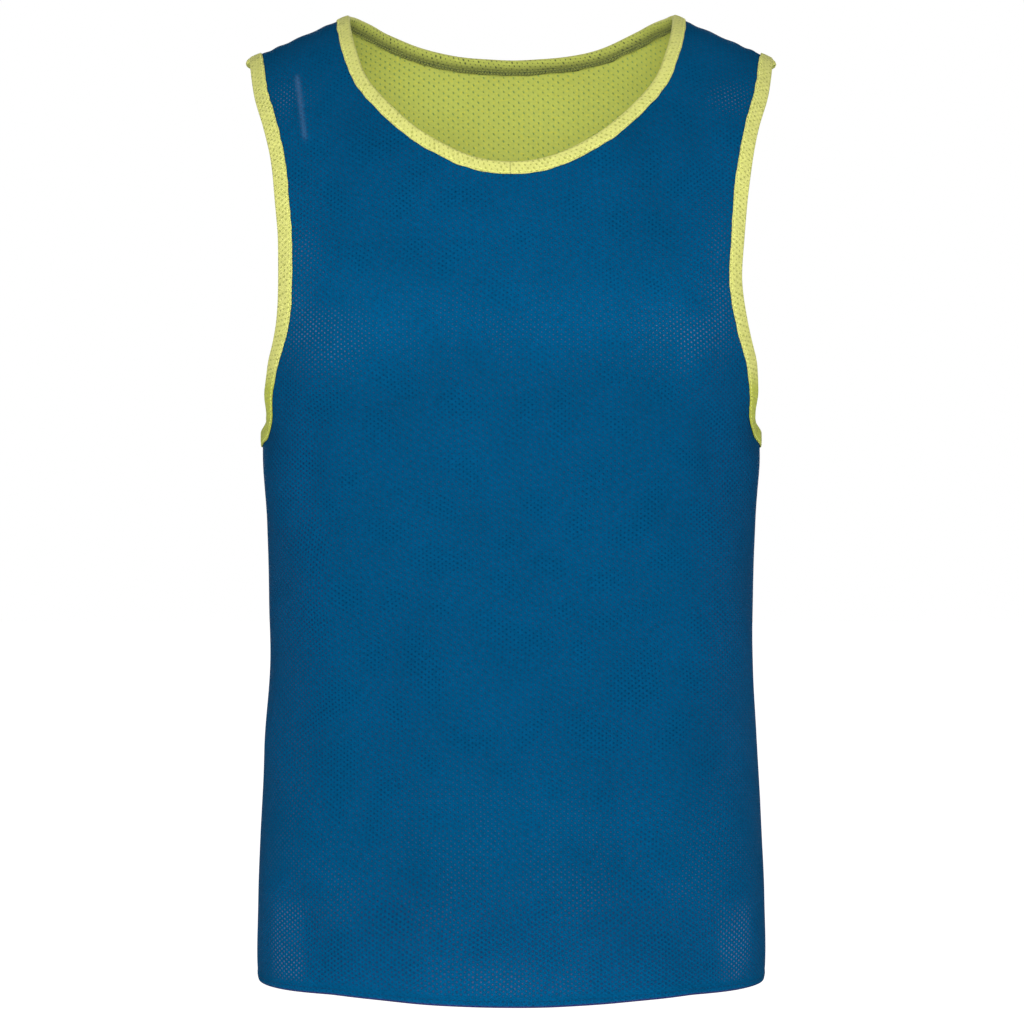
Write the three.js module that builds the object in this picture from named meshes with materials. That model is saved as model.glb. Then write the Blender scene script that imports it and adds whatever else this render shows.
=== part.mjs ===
// A reversible training bib: two mesh layers cut alike, bound together at the neck and armholes.
// Millimetres, +Z up, the front faces -Y. The origin lies midway between the two shoulder points,
// at the level of the inside of the straps.
import * as THREE from "three";

// Sizes of the cloth: one layer's wall, the space between two pieces, the folded strips.
const cloth = { wall: 1.0, gap: 0.3 };
const neckStrip = { outside: 8.4, inside: 10.9 };
const armStrip = { outside: 10.9, inside: 10.9 };
const hem = { level: -709.5, dip: 6.5, reach: 130, dipPower: 1.3, band: 6.0, rise: 0.5, fold: 1.2 };

// The worn form: half width and depth to the front and back at each distance below the shoulders.
const sections = [
  { drop: -80, half: 213.5, front: 125, back: 118 },
  { drop: 0, half: 213.5, front: 125, back: 118 },
  { drop: 80, half: 210.0, front: 125, back: 118 },
  { drop: 150, half: 202.5, front: 125, back: 118 },
  { drop: 200, half: 195.0, front: 125, back: 118 },
  { drop: 240, half: 189.0, front: 125, back: 116 },
  { drop: 280, half: 185.5, front: 124, back: 114 },
  { drop: 326, half: 184.2, front: 121, back: 111 },
  { drop: 370, half: 181.0, front: 118, back: 108 },
  { drop: 430, half: 179.5, front: 117, back: 106 },
  { drop: 475, half: 178.8, front: 118, back: 107 },
  { drop: 519, half: 181.4, front: 120, back: 110 },
  { drop: 564, half: 184.0, front: 122, back: 113 },
  { drop: 609, half: 186.2, front: 124, back: 115 },
  { drop: 653, half: 187.7, front: 125, back: 116 },
  { drop: 698, half: 188.1, front: 126, back: 116 },
  { drop: 716, half: 185.5, front: 126, back: 116 },
];
const squareness = 2.7;

// The shoulder line falls from the neck to the tip; above the chest line each side rounds over to it.
const shoulder = { height: 3.7, at: 123, fall: 0.405, soft: 30 };
const front = { name: "front", way: -1, chest: -244, round: 2.0, perDegree: 3.9 };
const back = { name: "back", way: 1, chest: -171, round: 1.75, perDegree: 2.6 };

// Cut edges. turn: degrees round from the middle of the side; lift: degrees of the rounding above
// the chest line, with the same scale carried on below it.
const neckFront = [
  { turn: 0, lift: 26.6 }, { turn: 5.5, lift: 27.3 }, { turn: 10.5, lift: 29.3 },
  { turn: 18.1, lift: 34.7 }, { turn: 23.7, lift: 41.6 }, { turn: 27.9, lift: 49.5 },
  { turn: 30.2, lift: 59.7 }, { turn: 31.3, lift: 69.0 }, { turn: 31.8, lift: 79.5 },
  { turn: 31.9, lift: 90 },
];
const neckBack = [
  { turn: 0, lift: 48.2 }, { turn: 6.7, lift: 49.7 }, { turn: 12.8, lift: 53.1 },
  { turn: 18.7, lift: 58.6 }, { turn: 24.6, lift: 68.0 }, { turn: 27.6, lift: 75.2 },
  { turn: 30.2, lift: 82.6 }, { turn: 31.9, lift: 90 },
];
const armFront = [
  { turn: 90, lift: -14.9 }, { turn: 77, lift: -14.4 }, { turn: 70.3, lift: -12.7 },
  { turn: 66.4, lift: -9.6 }, { turn: 60.8, lift: -2.6 }, { turn: 54.4, lift: 4.8 },
  { turn: 50.8, lift: 11.8 }, { turn: 49.3, lift: 19.2 }, { turn: 49.1, lift: 27.3 },
  { turn: 49.8, lift: 36.8 }, { turn: 51.4, lift: 45.5 }, { turn: 54.4, lift: 56.8 },
  { turn: 56.6, lift: 74.0 }, { turn: 59.2, lift: 90 },
];
const armBack = [
  { turn: 90, lift: -50.43 }, { turn: 77, lift: -49.6 }, { turn: 69.8, lift: -45.5 },
  { turn: 64.9, lift: -36.2 }, { turn: 60.7, lift: -23.5 }, { turn: 55.2, lift: -5.4 },
  { turn: 53.1, lift: 12.2 }, { turn: 53.2, lift: 30.1 }, { turn: 54.8, lift: 49.6 },
  { turn: 57.5, lift: 66.0 }, { turn: 59.2, lift: 90 },
];

// The largest folds of the front, each a soft ridge or hollow along a line, on both halves.
const frontFolds = [
  { x1: 112, z1: -100, x2: 0, z2: -172, wide: 24, high: 2.6 },
  { x1: 140, z1: -118, x2: 30, z2: -205, wide: 26, high: -1.8 },
  { x1: 150, z1: -140, x2: 0, z2: -245, wide: 26, high: 1.6 },
  { x1: 122, z1: -215, x2: 128, z2: -250, wide: 36, high: 3.0 },
  { x1: 150, z1: -305, x2: 138, z2: -365, wide: 20, high: -2.4 },
  { x1: 84, z1: -470, x2: 80, z2: -640, wide: 24, high: -3.0 },
  { x1: 100, z1: -465, x2: 62, z2: -425, wide: 18, high: -1.8 },
  { x1: 0, z1: -470, x2: 0, z2: -690, wide: 50, high: 1.6 },
];
const backFolds = [
  { x1: 0, z1: -190, x2: 0, z2: -430, wide: 58, high: -2.4 },
  { x1: 96, z1: -130, x2: 92, z2: -200, wide: 56, high: 1.8 },
  { x1: 84, z1: -450, x2: 90, z2: -680, wide: 34, high: 2.2 },
];
// Folds meet softly across the middle, and fade out this far in front of and behind the side seams.
const foldEnds = { middle: 14, seam: 40 };

const rad = Math.PI / 180;

// A smooth value between the rows of the section table.
function section(key, drop) {
  const last = sections.length - 1;
  let i = 0;
  while (i < last - 1 && drop > sections[i + 1].drop) i += 1;
  const slopeAt = (j) => {
    const a = sections[Math.max(j - 1, 0)];
    const b = sections[Math.min(j + 1, last)];
    return (b[key] - a[key]) / (b.drop - a.drop);
  };
  const span = sections[i + 1].drop - sections[i].drop;
  const s = Math.min(Math.max((drop - sections[i].drop) / span, 0), 1);
  const s2 = s * s;
  const s3 = s2 * s;
  return (2 * s3 - 3 * s2 + 1) * sections[i][key] + (s3 - 2 * s2 + s) * span * slopeAt(i)
    + (3 * s2 - 2 * s3) * sections[i + 1][key] + (s3 - s2) * span * slopeAt(i + 1);
}

// A rounded square: the two shares of its half widths at an angle.
function rounded(angle, power) {
  const s = Math.sin(angle);
  const c = Math.cos(angle);
  const r = Math.pow(Math.pow(Math.abs(s), power) + Math.pow(Math.abs(c), power), -1 / power);
  return { across: r * s, out: r * c };
}

// The height of the shoulder line.
function ridge(x) {
  return shoulder.height - shoulder.fall * (Math.hypot(x, shoulder.soft)
    - Math.hypot(shoulder.at, shoulder.soft));
}

// The folds' height above the plain form, out of the cloth.
function foldHeight(side, x, z) {
  const folds = side === front ? frontFolds : backFolds;
  const apart = Math.hypot(x, foldEnds.middle);
  let sum = 0;
  for (const f of folds) {
    const dx = f.x2 - f.x1;
    const dz = f.z2 - f.z1;
    const along = ((apart - f.x1) * dx + (z - f.z1) * dz) / (dx * dx + dz * dz);
    const k = Math.min(Math.max(along, 0), 1);
    const away = Math.hypot(apart - f.x1 - k * dx, z - f.z1 - k * dz) / f.wide;
    sum += f.high * Math.exp(-away * away);
  }
  return sum;
}

// The blue outside face without folds, at a turn and lift in degrees.
function plainPoint(side, turn, lift) {
  const around = rounded(turn * rad, squareness);
  let z = side.chest + lift * side.perDegree;
  let x = 0;
  let top = 1;
  for (let k = 0; k < 6; k += 1) {
    x = section("half", -z) * around.across;
    if (lift > 0) {
      const over = rounded(lift * rad, side.round);
      z = side.chest + (ridge(x) - side.chest) * over.across;
      top = over.out;
    }
  }
  const y = side.way * section(side.name, -z) * around.out * top;
  return new THREE.Vector3(x, y, z);
}

// How the plain face runs for each degree of turn and lift, and its way out.
function slopes(side, turn, lift) {
  const d = 0.02;
  const hi = Math.min(lift + d, 90);
  const across = plainPoint(side, turn + d, lift).sub(plainPoint(side, turn - d, lift))
    .divideScalar(2 * d);
  const up = plainPoint(side, turn, hi).sub(plainPoint(side, turn, lift - d))
    .divideScalar(hi - lift + d);
  const out = new THREE.Vector3().crossVectors(across, up).normalize();
  if (side === back) out.negate();
  return { across, up, out };
}

// A place on the side: its point with the folds, and the way out of the cloth there.
function place(side, at) {
  const out = slopes(side, at.turn, at.lift).out;
  const atSeam = Math.abs(at.turn) > 89;
  if (atSeam) out.y = 0;
  out.normalize();
  const p = plainPoint(side, at.turn, at.lift);
  const share = Math.min(Math.abs(p.y) / foldEnds.seam, 1) ** 2;
  p.addScaledVector(out, foldHeight(side, p.x, p.z) * share);
  return { p, out };
}

// Where a side ends: half a gap short of the middle plane, at the side seam and on the shoulder.
function seamTurn(side, lift) {
  const z = side.chest + lift * side.perDegree;
  return 90 - (cloth.gap / 2) / section(side.name, -z) / rad;
}
function seamLift(side, turn) {
  const around = rounded(turn * rad, squareness);
  return 90 - (cloth.gap / 2) / (section(side.name, 10) * around.out) / rad;
}

// A smooth line through the knots, cut into so many pieces of equal length.
function edge(side, knots, pieces) {
  const marks = knots.map((k) => new THREE.Vector3(k.turn, k.lift, 0));
  const line = new THREE.CatmullRomCurve3(marks, false, "centripetal");
  const fine = [];
  const steps = 400;
  for (let i = 0; i <= steps; i += 1) {
    const m = line.getPoint(i / steps);
    fine.push({ turn: m.x, lift: Math.min(m.y, 90) });
  }
  const far = [0];
  for (let i = 1; i <= steps; i += 1) {
    const a = plainPoint(side, fine[i - 1].turn, fine[i - 1].lift);
    far.push(far[i - 1] + a.distanceTo(plainPoint(side, fine[i].turn, fine[i].lift)));
  }
  const cut = [];
  let i = 0;
  for (let n = 0; n <= pieces; n += 1) {
    const want = far[steps] * n / pieces;
    while (i < steps - 1 && far[i + 1] < want) i += 1;
    const s = (want - far[i]) / (far[i + 1] - far[i]);
    cut.push(mix(fine[i], fine[i + 1], s));
  }
  return cut;
}

function mix(a, b, s) {
  return { turn: a.turn + (b.turn - a.turn) * s, lift: a.lift + (b.lift - a.lift) * s };
}

// The same line moved over the cloth by a distance in millimetres. turning: 1 to the left of the
// line as seen from outside, -1 to its right.
function moved(side, line, distance, turning) {
  return line.map((at, i) => {
    const a = line[Math.max(i - 1, 0)];
    const b = line[Math.min(i + 1, line.length - 1)];
    const run = plainPoint(side, b.turn, b.lift).sub(plainPoint(side, a.turn, a.lift));
    let here = { turn: at.turn, lift: at.lift };
    for (let k = 0; k < 4; k += 1) {
      const s = slopes(side, here.turn, here.lift);
      const go = new THREE.Vector3().crossVectors(s.out, run).normalize();
      go.multiplyScalar(turning * distance / 4);
      const aa = s.across.dot(s.across);
      const ab = s.across.dot(s.up);
      const bb = s.up.dot(s.up);
      const ga = go.dot(s.across);
      const gb = go.dot(s.up);
      const det = aa * bb - ab * ab;
      here = {
        turn: here.turn + (ga * bb - gb * ab) / det,
        lift: Math.min(here.lift + (gb * aa - ga * ab) / det, 90),
      };
    }
    return here;
  });
}

// A grid of places between four lines that meet at their ends.
function patch(bottom, topLine, left, right) {
  const m = bottom.length - 1;
  const n = left.length - 1;
  const rows = [];
  for (let i = 0; i <= n; i += 1) {
    const t = i / n;
    const row = [];
    for (let j = 0; j <= m; j += 1) {
      const s = j / m;
      const at = {};
      for (const key of ["turn", "lift"]) {
        const corners = (1 - s) * ((1 - t) * bottom[0][key] + t * topLine[0][key])
          + s * ((1 - t) * bottom[m][key] + t * topLine[m][key]);
        at[key] = (1 - t) * bottom[j][key] + t * topLine[j][key]
          + (1 - s) * left[i][key] + s * right[i][key] - corners;
      }
      row.push(at);
    }
    rows.push(row);
  }
  return rows;
}

// How finely each half of a side is divided, and how its rows run: the chest row hangs below the
// underarm at the middle, and the collar row bends down from the neck.
const parts = { across: 12, body: 11, middle: 8, upper: 10 };
const rowShape = { hang: 42, hangPower: 3, bend: 1.35 };

// The lines that a half side is built between: cut edges, strip borders, seams and rows.
function halfLines(side) {
  const neck = edge(side, side === front ? neckFront : neckBack, parts.upper);
  const arm = edge(side, side === front ? armFront : armBack, parts.middle + parts.upper);
  const neckIn = moved(side, neck, neckStrip.inside, side.way);
  const armIn = moved(side, arm, armStrip.inside, -side.way);
  neck[0].turn = 0;
  neckIn[0].turn = 0;
  for (const line of [neck, neckIn, arm, armIn]) {
    const end = line[line.length - 1];
    end.lift = seamLift(side, end.turn);
  }
  for (const line of [arm, armIn]) {
    line[0].turn = seamTurn(side, line[0].lift);
  }
  return { neck, neckIn, arm, armIn };
}

const lines = { front: halfLines(front), back: halfLines(back) };

// The hem's lower edge dips at the middle of each side.
function hemLift(side, turn) {
  const x = section("half", -hem.level) * rounded(turn * rad, squareness).across;
  const k = Math.max(1 - (x / hem.reach) ** 2, 0);
  return (hem.level - hem.dip * Math.pow(k, hem.dipPower) - side.chest) / side.perDegree;
}

// A row of places across a half side, or up its middle, from a rule for the share s of the way.
function row(pieces, rule) {
  return Array.from({ length: pieces + 1 }, (_, j) => rule(j / pieces));
}

// The grids of a half side, from the hem up. heights: rows of the hem above its lower edge.
function halfGrids(side, lines, heights) {
  const { across, body, middle, upper } = parts;
  const hemEnd = seamTurn(side, (hem.level - side.chest) / side.perDegree);
  const bandRows = heights.map((h) => row(across, (s) => {
    const turn = hemEnd * s;
    return { turn, lift: hemLift(side, turn) + h / side.perDegree };
  }));
  const under = lines.armIn[0];
  const low = under.lift - rowShape.hang / side.perDegree;
  const chestRow = row(across, (s) => ({
    turn: under.turn * s,
    lift: low + (under.lift - low) * s ** rowShape.hangPower,
  }));
  const start = lines.neckIn[0];
  const corner = lines.armIn[middle];
  const collarRow = row(across, (s) => ({
    turn: corner.turn * s,
    lift: start.lift + (corner.lift - start.lift) * (1 - (1 - s) ** rowShape.bend),
  }));
  const neckEnd = lines.neckIn[upper];
  const armEnd = lines.armIn[middle + upper];
  const seamRow = row(across, (s) => {
    const turn = neckEnd.turn + (armEnd.turn - neckEnd.turn) * s;
    return { turn, lift: seamLift(side, turn) };
  });
  const bandTop = bandRows[bandRows.length - 1];
  const plain = [
    row(body, (t) => bandTop.map((at, j) => mix(at, chestRow[j], t))),
    patch(chestRow, collarRow, row(middle, (t) => mix(chestRow[0], start, t)),
      lines.armIn.slice(0, middle + 1)),
    patch(collarRow, seamRow, lines.neckIn, lines.armIn.slice(middle)),
    lines.neck.map((at, i) => [at, lines.neckIn[i]]),
    lines.arm.map((at, i) => [at, lines.armIn[i]]),
  ];
  return [
    { rows: bandRows, levels: heights },
    ...plain.map((rows) => ({ rows, levels: rows.map(() => Infinity) })),
  ];
}

// One layer of one side as a closed wall between two distances from the blue outside face.
function panel(name, side, lines, heights, outAt, inAt, colour) {
  const nodes = [];
  const seen = new Map();
  const faces = [];
  const node = (at, mirror, level) => {
    const spot = { turn: mirror * at.turn, lift: at.lift };
    const { p, out } = place(side, spot);
    const key = [p.x, p.y, p.z].map((v) => Math.round(v * 2000)).join(",");
    if (!seen.has(key)) {
      seen.set(key, nodes.length);
      nodes.push({ p, out, far: outAt(level), near: inAt(level) });
    }
    return seen.get(key);
  };
  const grids = halfGrids(side, lines, heights);
  for (const mirror of [1, -1]) {
    for (const { rows, levels } of grids) {
      gridFaces(rows.map((line, i) => line.map((at) => node(at, mirror, levels[i]))), faces);
    }
  }
  return wall(name, nodes, faces, colour);
}

function gridFaces(ids, faces) {
  for (let i = 0; i + 1 < ids.length; i += 1) {
    for (let j = 0; j + 1 < ids[i].length; j += 1) {
      faces.push([ids[i][j], ids[i + 1][j], ids[i + 1][j + 1]]);
      faces.push([ids[i][j], ids[i + 1][j + 1], ids[i][j + 1]]);
    }
  }
}

// A closed wall: the faces twice, apart, and a rim along each edge that only one face has.
function wall(name, nodes, faces, colour) {
  const spots = [];
  for (const n of nodes) spots.push(n.p.clone().addScaledVector(n.out, n.far));
  for (const n of nodes) spots.push(n.p.clone().addScaledVector(n.out, n.near));
  const count = nodes.length;
  const turned = faces.filter((f) => new Set(f).size === 3).map((f) => {
    const [a, b, c] = f.map((i) => nodes[i].p);
    const normal = new THREE.Vector3().crossVectors(b.clone().sub(a), c.clone().sub(a));
    return normal.dot(nodes[f[0]].out) < 0 ? [f[0], f[2], f[1]] : f;
  });
  const index = [];
  const edges = new Set();
  for (const f of turned) {
    index.push(...f);
    index.push(f[0] + count, f[2] + count, f[1] + count);
    for (let k = 0; k < 3; k += 1) edges.add(`${f[k]}_${f[(k + 1) % 3]}`);
  }
  for (const e of edges) {
    const [a, b] = e.split("_").map(Number);
    if (edges.has(`${b}_${a}`)) continue;
    index.push(a, a + count, b + count, a, b + count, b);
  }
  return solid(name, spots, index, colour);
}

function solid(name, spots, index, colour) {
  const geometry = new THREE.BufferGeometry();
  const flat = new Float32Array(spots.length * 3);
  spots.forEach((p, i) => p.toArray(flat, i * 3));
  geometry.setAttribute("position", new THREE.BufferAttribute(flat, 3));
  geometry.setIndex(index);
  geometry.computeVertexNormals();
  const material = new THREE.MeshStandardMaterial({ color: colour, roughness: 0.85, metalness: 0 });
  const mesh = new THREE.Mesh(geometry, material);
  mesh.name = name;
  return mesh;
}

// A strip folded over the cut edges of both layers. ring: pairs of places, one on the cut edge and
// one where the strip's inner leg ends, in order round the opening.
function binding(name, ring, strip, colour) {
  const { wall: thick, gap } = cloth;
  const low = -2 * (thick + gap);
  const high = gap;
  const bevel = 0.7 * thick;
  const profile = [
    { along: strip.outside, off: high + thick },
    { along: strip.outside, off: high },
    { along: -gap, off: high },
    { along: -gap, off: low },
    { along: strip.inside, off: low },
    { along: strip.inside, off: low - thick },
    { along: bevel - gap - thick, off: low - thick },
    { along: -gap - thick, off: low - thick + bevel },
    { along: -gap - thick, off: high + thick - bevel },
    { along: bevel - gap - thick, off: high + thick },
  ];
  const spots = [];
  for (const { rim, end } of ring) {
    const away = rim.p.clone().sub(end.p).normalize();
    for (const { along, off } of profile) {
      const a = rim.p.clone().addScaledVector(rim.out, off);
      if (along < 0) {
        spots.push(a.addScaledVector(away, -along));
      } else {
        const b = end.p.clone().addScaledVector(end.out, off);
        spots.push(a.lerp(b, along / strip.inside));
      }
    }
  }
  const index = [];
  const m = profile.length;
  for (let i = 0; i < ring.length; i += 1) {
    const next = (i + 1) % ring.length;
    for (let k = 0; k < m; k += 1) {
      const a = i * m + k;
      const b = i * m + (k + 1) % m;
      const c = next * m + (k + 1) % m;
      const d = next * m + k;
      // the faces are split along the same diagonals as the panel beneath
      const toRim = profile[k].along > profile[(k + 1) % m].along;
      if (toRim === ring[i].rising) index.push(a, b, d, b, c, d);
      else index.push(a, b, c, a, c, d);
    }
  }
  const mesh = solid(name, spots, index, colour);
  if (volume(spots, index) < 0) mesh.geometry.index.array.reverse();
  return mesh;
}

// Six times the volume inside the faces, below zero if they are inside out.
function volume(spots, index) {
  let sum = 0;
  for (let i = 0; i < index.length; i += 3) {
    const [a, b, c] = [0, 1, 2].map((k) => spots[index[i + k]]);
    sum += a.dot(new THREE.Vector3().crossVectors(b, c));
  }
  return sum;
}

// The places along one quarter of an opening, named by its cut edge: neck or arm. rising tells
// whether they run up to the shoulder.
function quarter(side, opening, mirror, rising) {
  const inner = lines[side.name][`${opening}In`];
  const places = lines[side.name][opening].map((at, i) => ({
    rim: place(side, { turn: mirror * at.turn, lift: at.lift }),
    end: place(side, { turn: mirror * inner[i].turn, lift: inner[i].lift }),
    rising,
  }));
  return rising ? places : places.reverse();
}

const blue = 0x07507c;
const lime = 0xc8cf6a;
const bib = new THREE.Group();
bib.name = "reversible_training_bib";

// Each side's two layers. At the hem the blue layer is a little thicker and turns in under the lime
// one, as the two are turned together there.
const step = 0.5;
const outerHeights = [0, hem.fold - 0.05, hem.fold, hem.band, hem.band + step];
const innerHeights = [hem.fold + cloth.gap, hem.band, hem.band + step];
const innerFace = -cloth.wall - cloth.gap;
for (const side of [front, back]) {
  const its = lines[side.name];
  const outAt = (h) => (h <= hem.band ? hem.rise : 0);
  const inAt = (h) => (h < hem.fold ? innerFace : 0) - cloth.wall;
  bib.add(panel(`outer_${side.name}`, side, its, outerHeights, outAt, inAt, blue));
  bib.add(panel(`inner_${side.name}`, side, its, innerHeights,
    () => innerFace, () => innerFace - cloth.wall, lime));
}

// Each opening's binding is one ring, closed over the seams.
const neckRing = [
  ...quarter(front, "neck", 1, true).slice(0, -1),
  ...quarter(back, "neck", 1, false).slice(0, -1),
  ...quarter(back, "neck", -1, true),
  ...quarter(front, "neck", -1, false).slice(1, -1),
];
bib.add(binding("neck_binding", neckRing, neckStrip, lime));
for (const [word, mirror] of [["left", 1], ["right", -1]]) {
  const armRing = [
    ...quarter(front, "arm", mirror, true).slice(0, -1),
    ...quarter(back, "arm", mirror, false).slice(0, -1),
  ];
  bib.add(binding(`armhole_binding_${word}`, armRing, armStrip, lime));
}

export default bib;
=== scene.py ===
import math

import bpy
import numpy as np
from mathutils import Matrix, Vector


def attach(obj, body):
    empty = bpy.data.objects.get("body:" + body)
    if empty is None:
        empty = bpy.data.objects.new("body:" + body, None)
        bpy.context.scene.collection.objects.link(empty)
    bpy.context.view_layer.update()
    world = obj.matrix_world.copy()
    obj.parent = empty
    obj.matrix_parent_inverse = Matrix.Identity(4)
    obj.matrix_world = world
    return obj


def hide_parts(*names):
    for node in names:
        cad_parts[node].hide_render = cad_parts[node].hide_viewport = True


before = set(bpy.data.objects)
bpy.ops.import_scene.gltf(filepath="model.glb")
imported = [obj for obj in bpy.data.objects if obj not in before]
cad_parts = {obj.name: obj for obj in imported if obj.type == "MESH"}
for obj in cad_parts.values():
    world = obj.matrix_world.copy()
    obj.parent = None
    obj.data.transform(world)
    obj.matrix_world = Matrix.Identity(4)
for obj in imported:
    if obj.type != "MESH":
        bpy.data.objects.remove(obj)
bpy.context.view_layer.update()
scene = bpy.context.scene
scene.view_settings.view_transform = "Standard"
mm = 0.001
rad = math.pi / 180
print("frame: nodes", len(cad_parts))


# the worn form

bodyForm = {  # half width and depth to the front and back, at each distance below the shoulders
    "drop": [-80, 0, 80, 150, 200, 240, 280, 326, 370, 430, 475, 519, 564, 609, 653, 698, 716],
    "half": [213.5, 213.5, 210, 202.5, 195, 189, 185.5, 184.2, 181, 179.5, 178.8, 181.4, 184,
             186.2, 187.7, 188.1, 185.5],
    "front": [125, 125, 125, 125, 125, 125, 124, 121, 118, 117, 118, 120, 122, 124, 125, 126, 126],
    "back": [118, 118, 118, 118, 118, 116, 114, 111, 108, 106, 107, 110, 113, 115, 116, 116, 116],
}
squareness = 2.7
topLift = 90  # degrees of lift at the shoulder seam
seamTurn = 89  # degrees of turn past which the cloth faces straight out to its side
shoulder = {"height": 3.7, "at": 123, "fall": 0.405, "soft": 30, "tipFall": 0.035}
sides = {
    "front": {"way": -1, "chest": -244.0, "round": 2.0, "perDegree": 3.9},
    "back": {"way": 1, "chest": -171.0, "round": 1.75, "perDegree": 2.6},
}


def formWidth(key, drop):
    # smooth values between the rows of bodyForm
    at = np.array(bodyForm["drop"], float)
    value = np.array(bodyForm[key], float)
    slope = np.empty_like(value)
    slope[1:-1] = (value[2:] - value[:-2]) / (at[2:] - at[:-2])
    slope[0] = (value[1] - value[0]) / (at[1] - at[0])
    slope[-1] = (value[-1] - value[-2]) / (at[-1] - at[-2])
    i = np.clip(np.searchsorted(at, drop) - 1, 0, len(at) - 2)
    span = at[i + 1] - at[i]
    s = np.clip((drop - at[i]) / span, 0, 1)
    s2 = s * s
    s3 = s2 * s
    return ((2 * s3 - 3 * s2 + 1) * value[i] + (s3 - 2 * s2 + s) * span * slope[i]
            + (3 * s2 - 2 * s3) * value[i + 1] + (s3 - s2) * span * slope[i + 1])


def rounded(angle, power):
    # a rounded square: the two shares of its half widths at an angle
    s = np.sin(angle)
    c = np.cos(angle)
    r = (np.abs(s) ** power + np.abs(c) ** power) ** (-1 / power)
    return r * s, r * c


def ridgeHeight(x):
    # how high the shoulder seam lies at a distance from the middle
    soft, start = shoulder["soft"], shoulder["at"]
    beyond = np.maximum(np.abs(x) - start, 0)
    return (shoulder["height"] - shoulder["fall"] * (np.hypot(x, soft) - math.hypot(start, soft))
            - shoulder["tipFall"] * beyond)


def plainPoint(side, turn, lift):
    # the blue outside face without folds; turn is degrees round from the middle, lift degrees of
    # the rounding above the chest line, with the same scale carried on below it
    s = sides[side]
    turn, lift = np.broadcast_arrays(np.asarray(turn, float), np.asarray(lift, float))
    across, out = rounded(turn * rad, squareness)
    over, top = rounded(np.clip(lift, 0, topLift) * rad, s["round"])
    above = lift > 0
    z = s["chest"] + lift * s["perDegree"]
    for _ in range(6):
        x = formWidth("half", -z) * across
        z = np.where(above, s["chest"] + (ridgeHeight(x) - s["chest"]) * over, z)
    y = s["way"] * formWidth(side, -z) * out * np.where(above, top, 1)
    return np.stack([x, y, z], axis=-1)


def unit(v):
    return v / np.maximum(np.linalg.norm(v, axis=-1, keepdims=True), 1e-12)


def slopes(side, turn, lift):
    # how the plain face runs for each degree of turn and lift, and its way out
    d = 0.02
    high = np.minimum(lift + d, topLift)
    across = (plainPoint(side, turn + d, lift) - plainPoint(side, turn - d, lift)) / (2 * d)
    up = plainPoint(side, turn, high) - plainPoint(side, turn, lift - d)
    up = up / (high - lift + d)[..., None]
    out = unit(np.cross(across, up))
    if side == "back":
        out = -out
    return across, up, out


# Folds shared with the CAD part, the same on both halves: a soft ridge or hollow along each line.
mainFolds = {
    "front": [
        {"from": (112, -100), "to": (0, -172), "wide": 24, "high": 2.6},
        {"from": (140, -118), "to": (30, -205), "wide": 26, "high": -1.8},
        {"from": (150, -140), "to": (0, -245), "wide": 26, "high": 1.6},
        {"from": (122, -215), "to": (128, -250), "wide": 36, "high": 3.0},
        {"from": (150, -305), "to": (138, -365), "wide": 20, "high": -2.4},
        {"from": (84, -470), "to": (80, -640), "wide": 24, "high": -3.0},
        {"from": (100, -465), "to": (62, -425), "wide": 18, "high": -1.8},
        {"from": (0, -470), "to": (0, -690), "wide": 50, "high": 1.6},
    ],
    "back": [
        {"from": (0, -190), "to": (0, -430), "wide": 58, "high": -2.4},
        {"from": (96, -130), "to": (92, -200), "wide": 56, "high": 1.8},
        {"from": (84, -450), "to": (90, -680), "wide": 34, "high": 2.2},
    ],
}
foldEnds = {"middle": 14, "seam": 40}  # where the folds soften: at the middle and near the seams
# Smaller folds that only the looks have. x is signed here, so the halves differ a little.
smallFolds = {
    "front": [
        {"from": (-130, -127), "to": (-100, -171), "wide": 9, "high": -1.1},
        {"from": (128, -125), "to": (99, -172), "wide": 9, "high": -1.0},
        {"from": (-142, -300), "to": (-146, -345), "wide": 9, "high": -1.2},
        {"from": (143, -298), "to": (147, -342), "wide": 9, "high": -1.1},
        {"from": (-98, -458), "to": (-68, -428), "wide": 8, "high": -0.9},
        {"from": (99, -456), "to": (70, -430), "wide": 8, "high": -0.8},
        {"from": (-80, -520), "to": (-76, -640), "wide": 10, "high": -1.0},
        {"from": (76, -500), "to": (79, -640), "wide": 10, "high": -1.0},
        {"from": (-155, -50), "to": (-149, -95), "wide": 3.5, "high": 0.7},
        {"from": (-181, -258), "to": (-182, -274), "wide": 13, "high": 2.2},
        {"from": (181, -258), "to": (182, -274), "wide": 13, "high": 2.2},
        {"from": (-184, -300), "to": (-183, -309), "wide": 12, "high": -3.2},
        {"from": (184, -300), "to": (183, -309), "wide": 12, "high": -3.2},
    ],
    "back": [
        {"from": (-120, -150), "to": (-80, -215), "wide": 12, "high": -0.9},
        {"from": (122, -152), "to": (84, -214), "wide": 12, "high": -0.9},
        {"from": (-60, -470), "to": (-66, -650), "wide": 14, "high": -0.9},
        {"from": (58, -460), "to": (64, -640), "wide": 14, "high": -1.0},
    ],
}
ripple = {"seed": 11, "waves": 26, "long": 120, "short": 38, "high": 0.16}
hemRipple = {"foot": -716, "tall": 150, "start": -712, "rise": 14, "across": (60, 165), "soft": 25,
             "lean": 0.12, "pitch": 17, "high": 0.35}
pucker = {"above": 45, "pitch": 14.5, "reach": 14, "high": 0.42, "sunk": 0.6, "wander": 1.4,
          "wanderPitch": 61}
sideSeam = {"reach": 3.4, "deep": 0.6}


def rippleTable():
    # a fixed set of slow waves, for the cloth's small unevenness
    rng = np.random.default_rng(ripple["seed"])
    n = ripple["waves"]
    size = rng.uniform(ripple["short"], ripple["long"], n)
    way = rng.uniform(0, math.pi, n)
    return size, way, rng.uniform(0, 2 * math.pi, (2, n))


rippleWaves = rippleTable()


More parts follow.
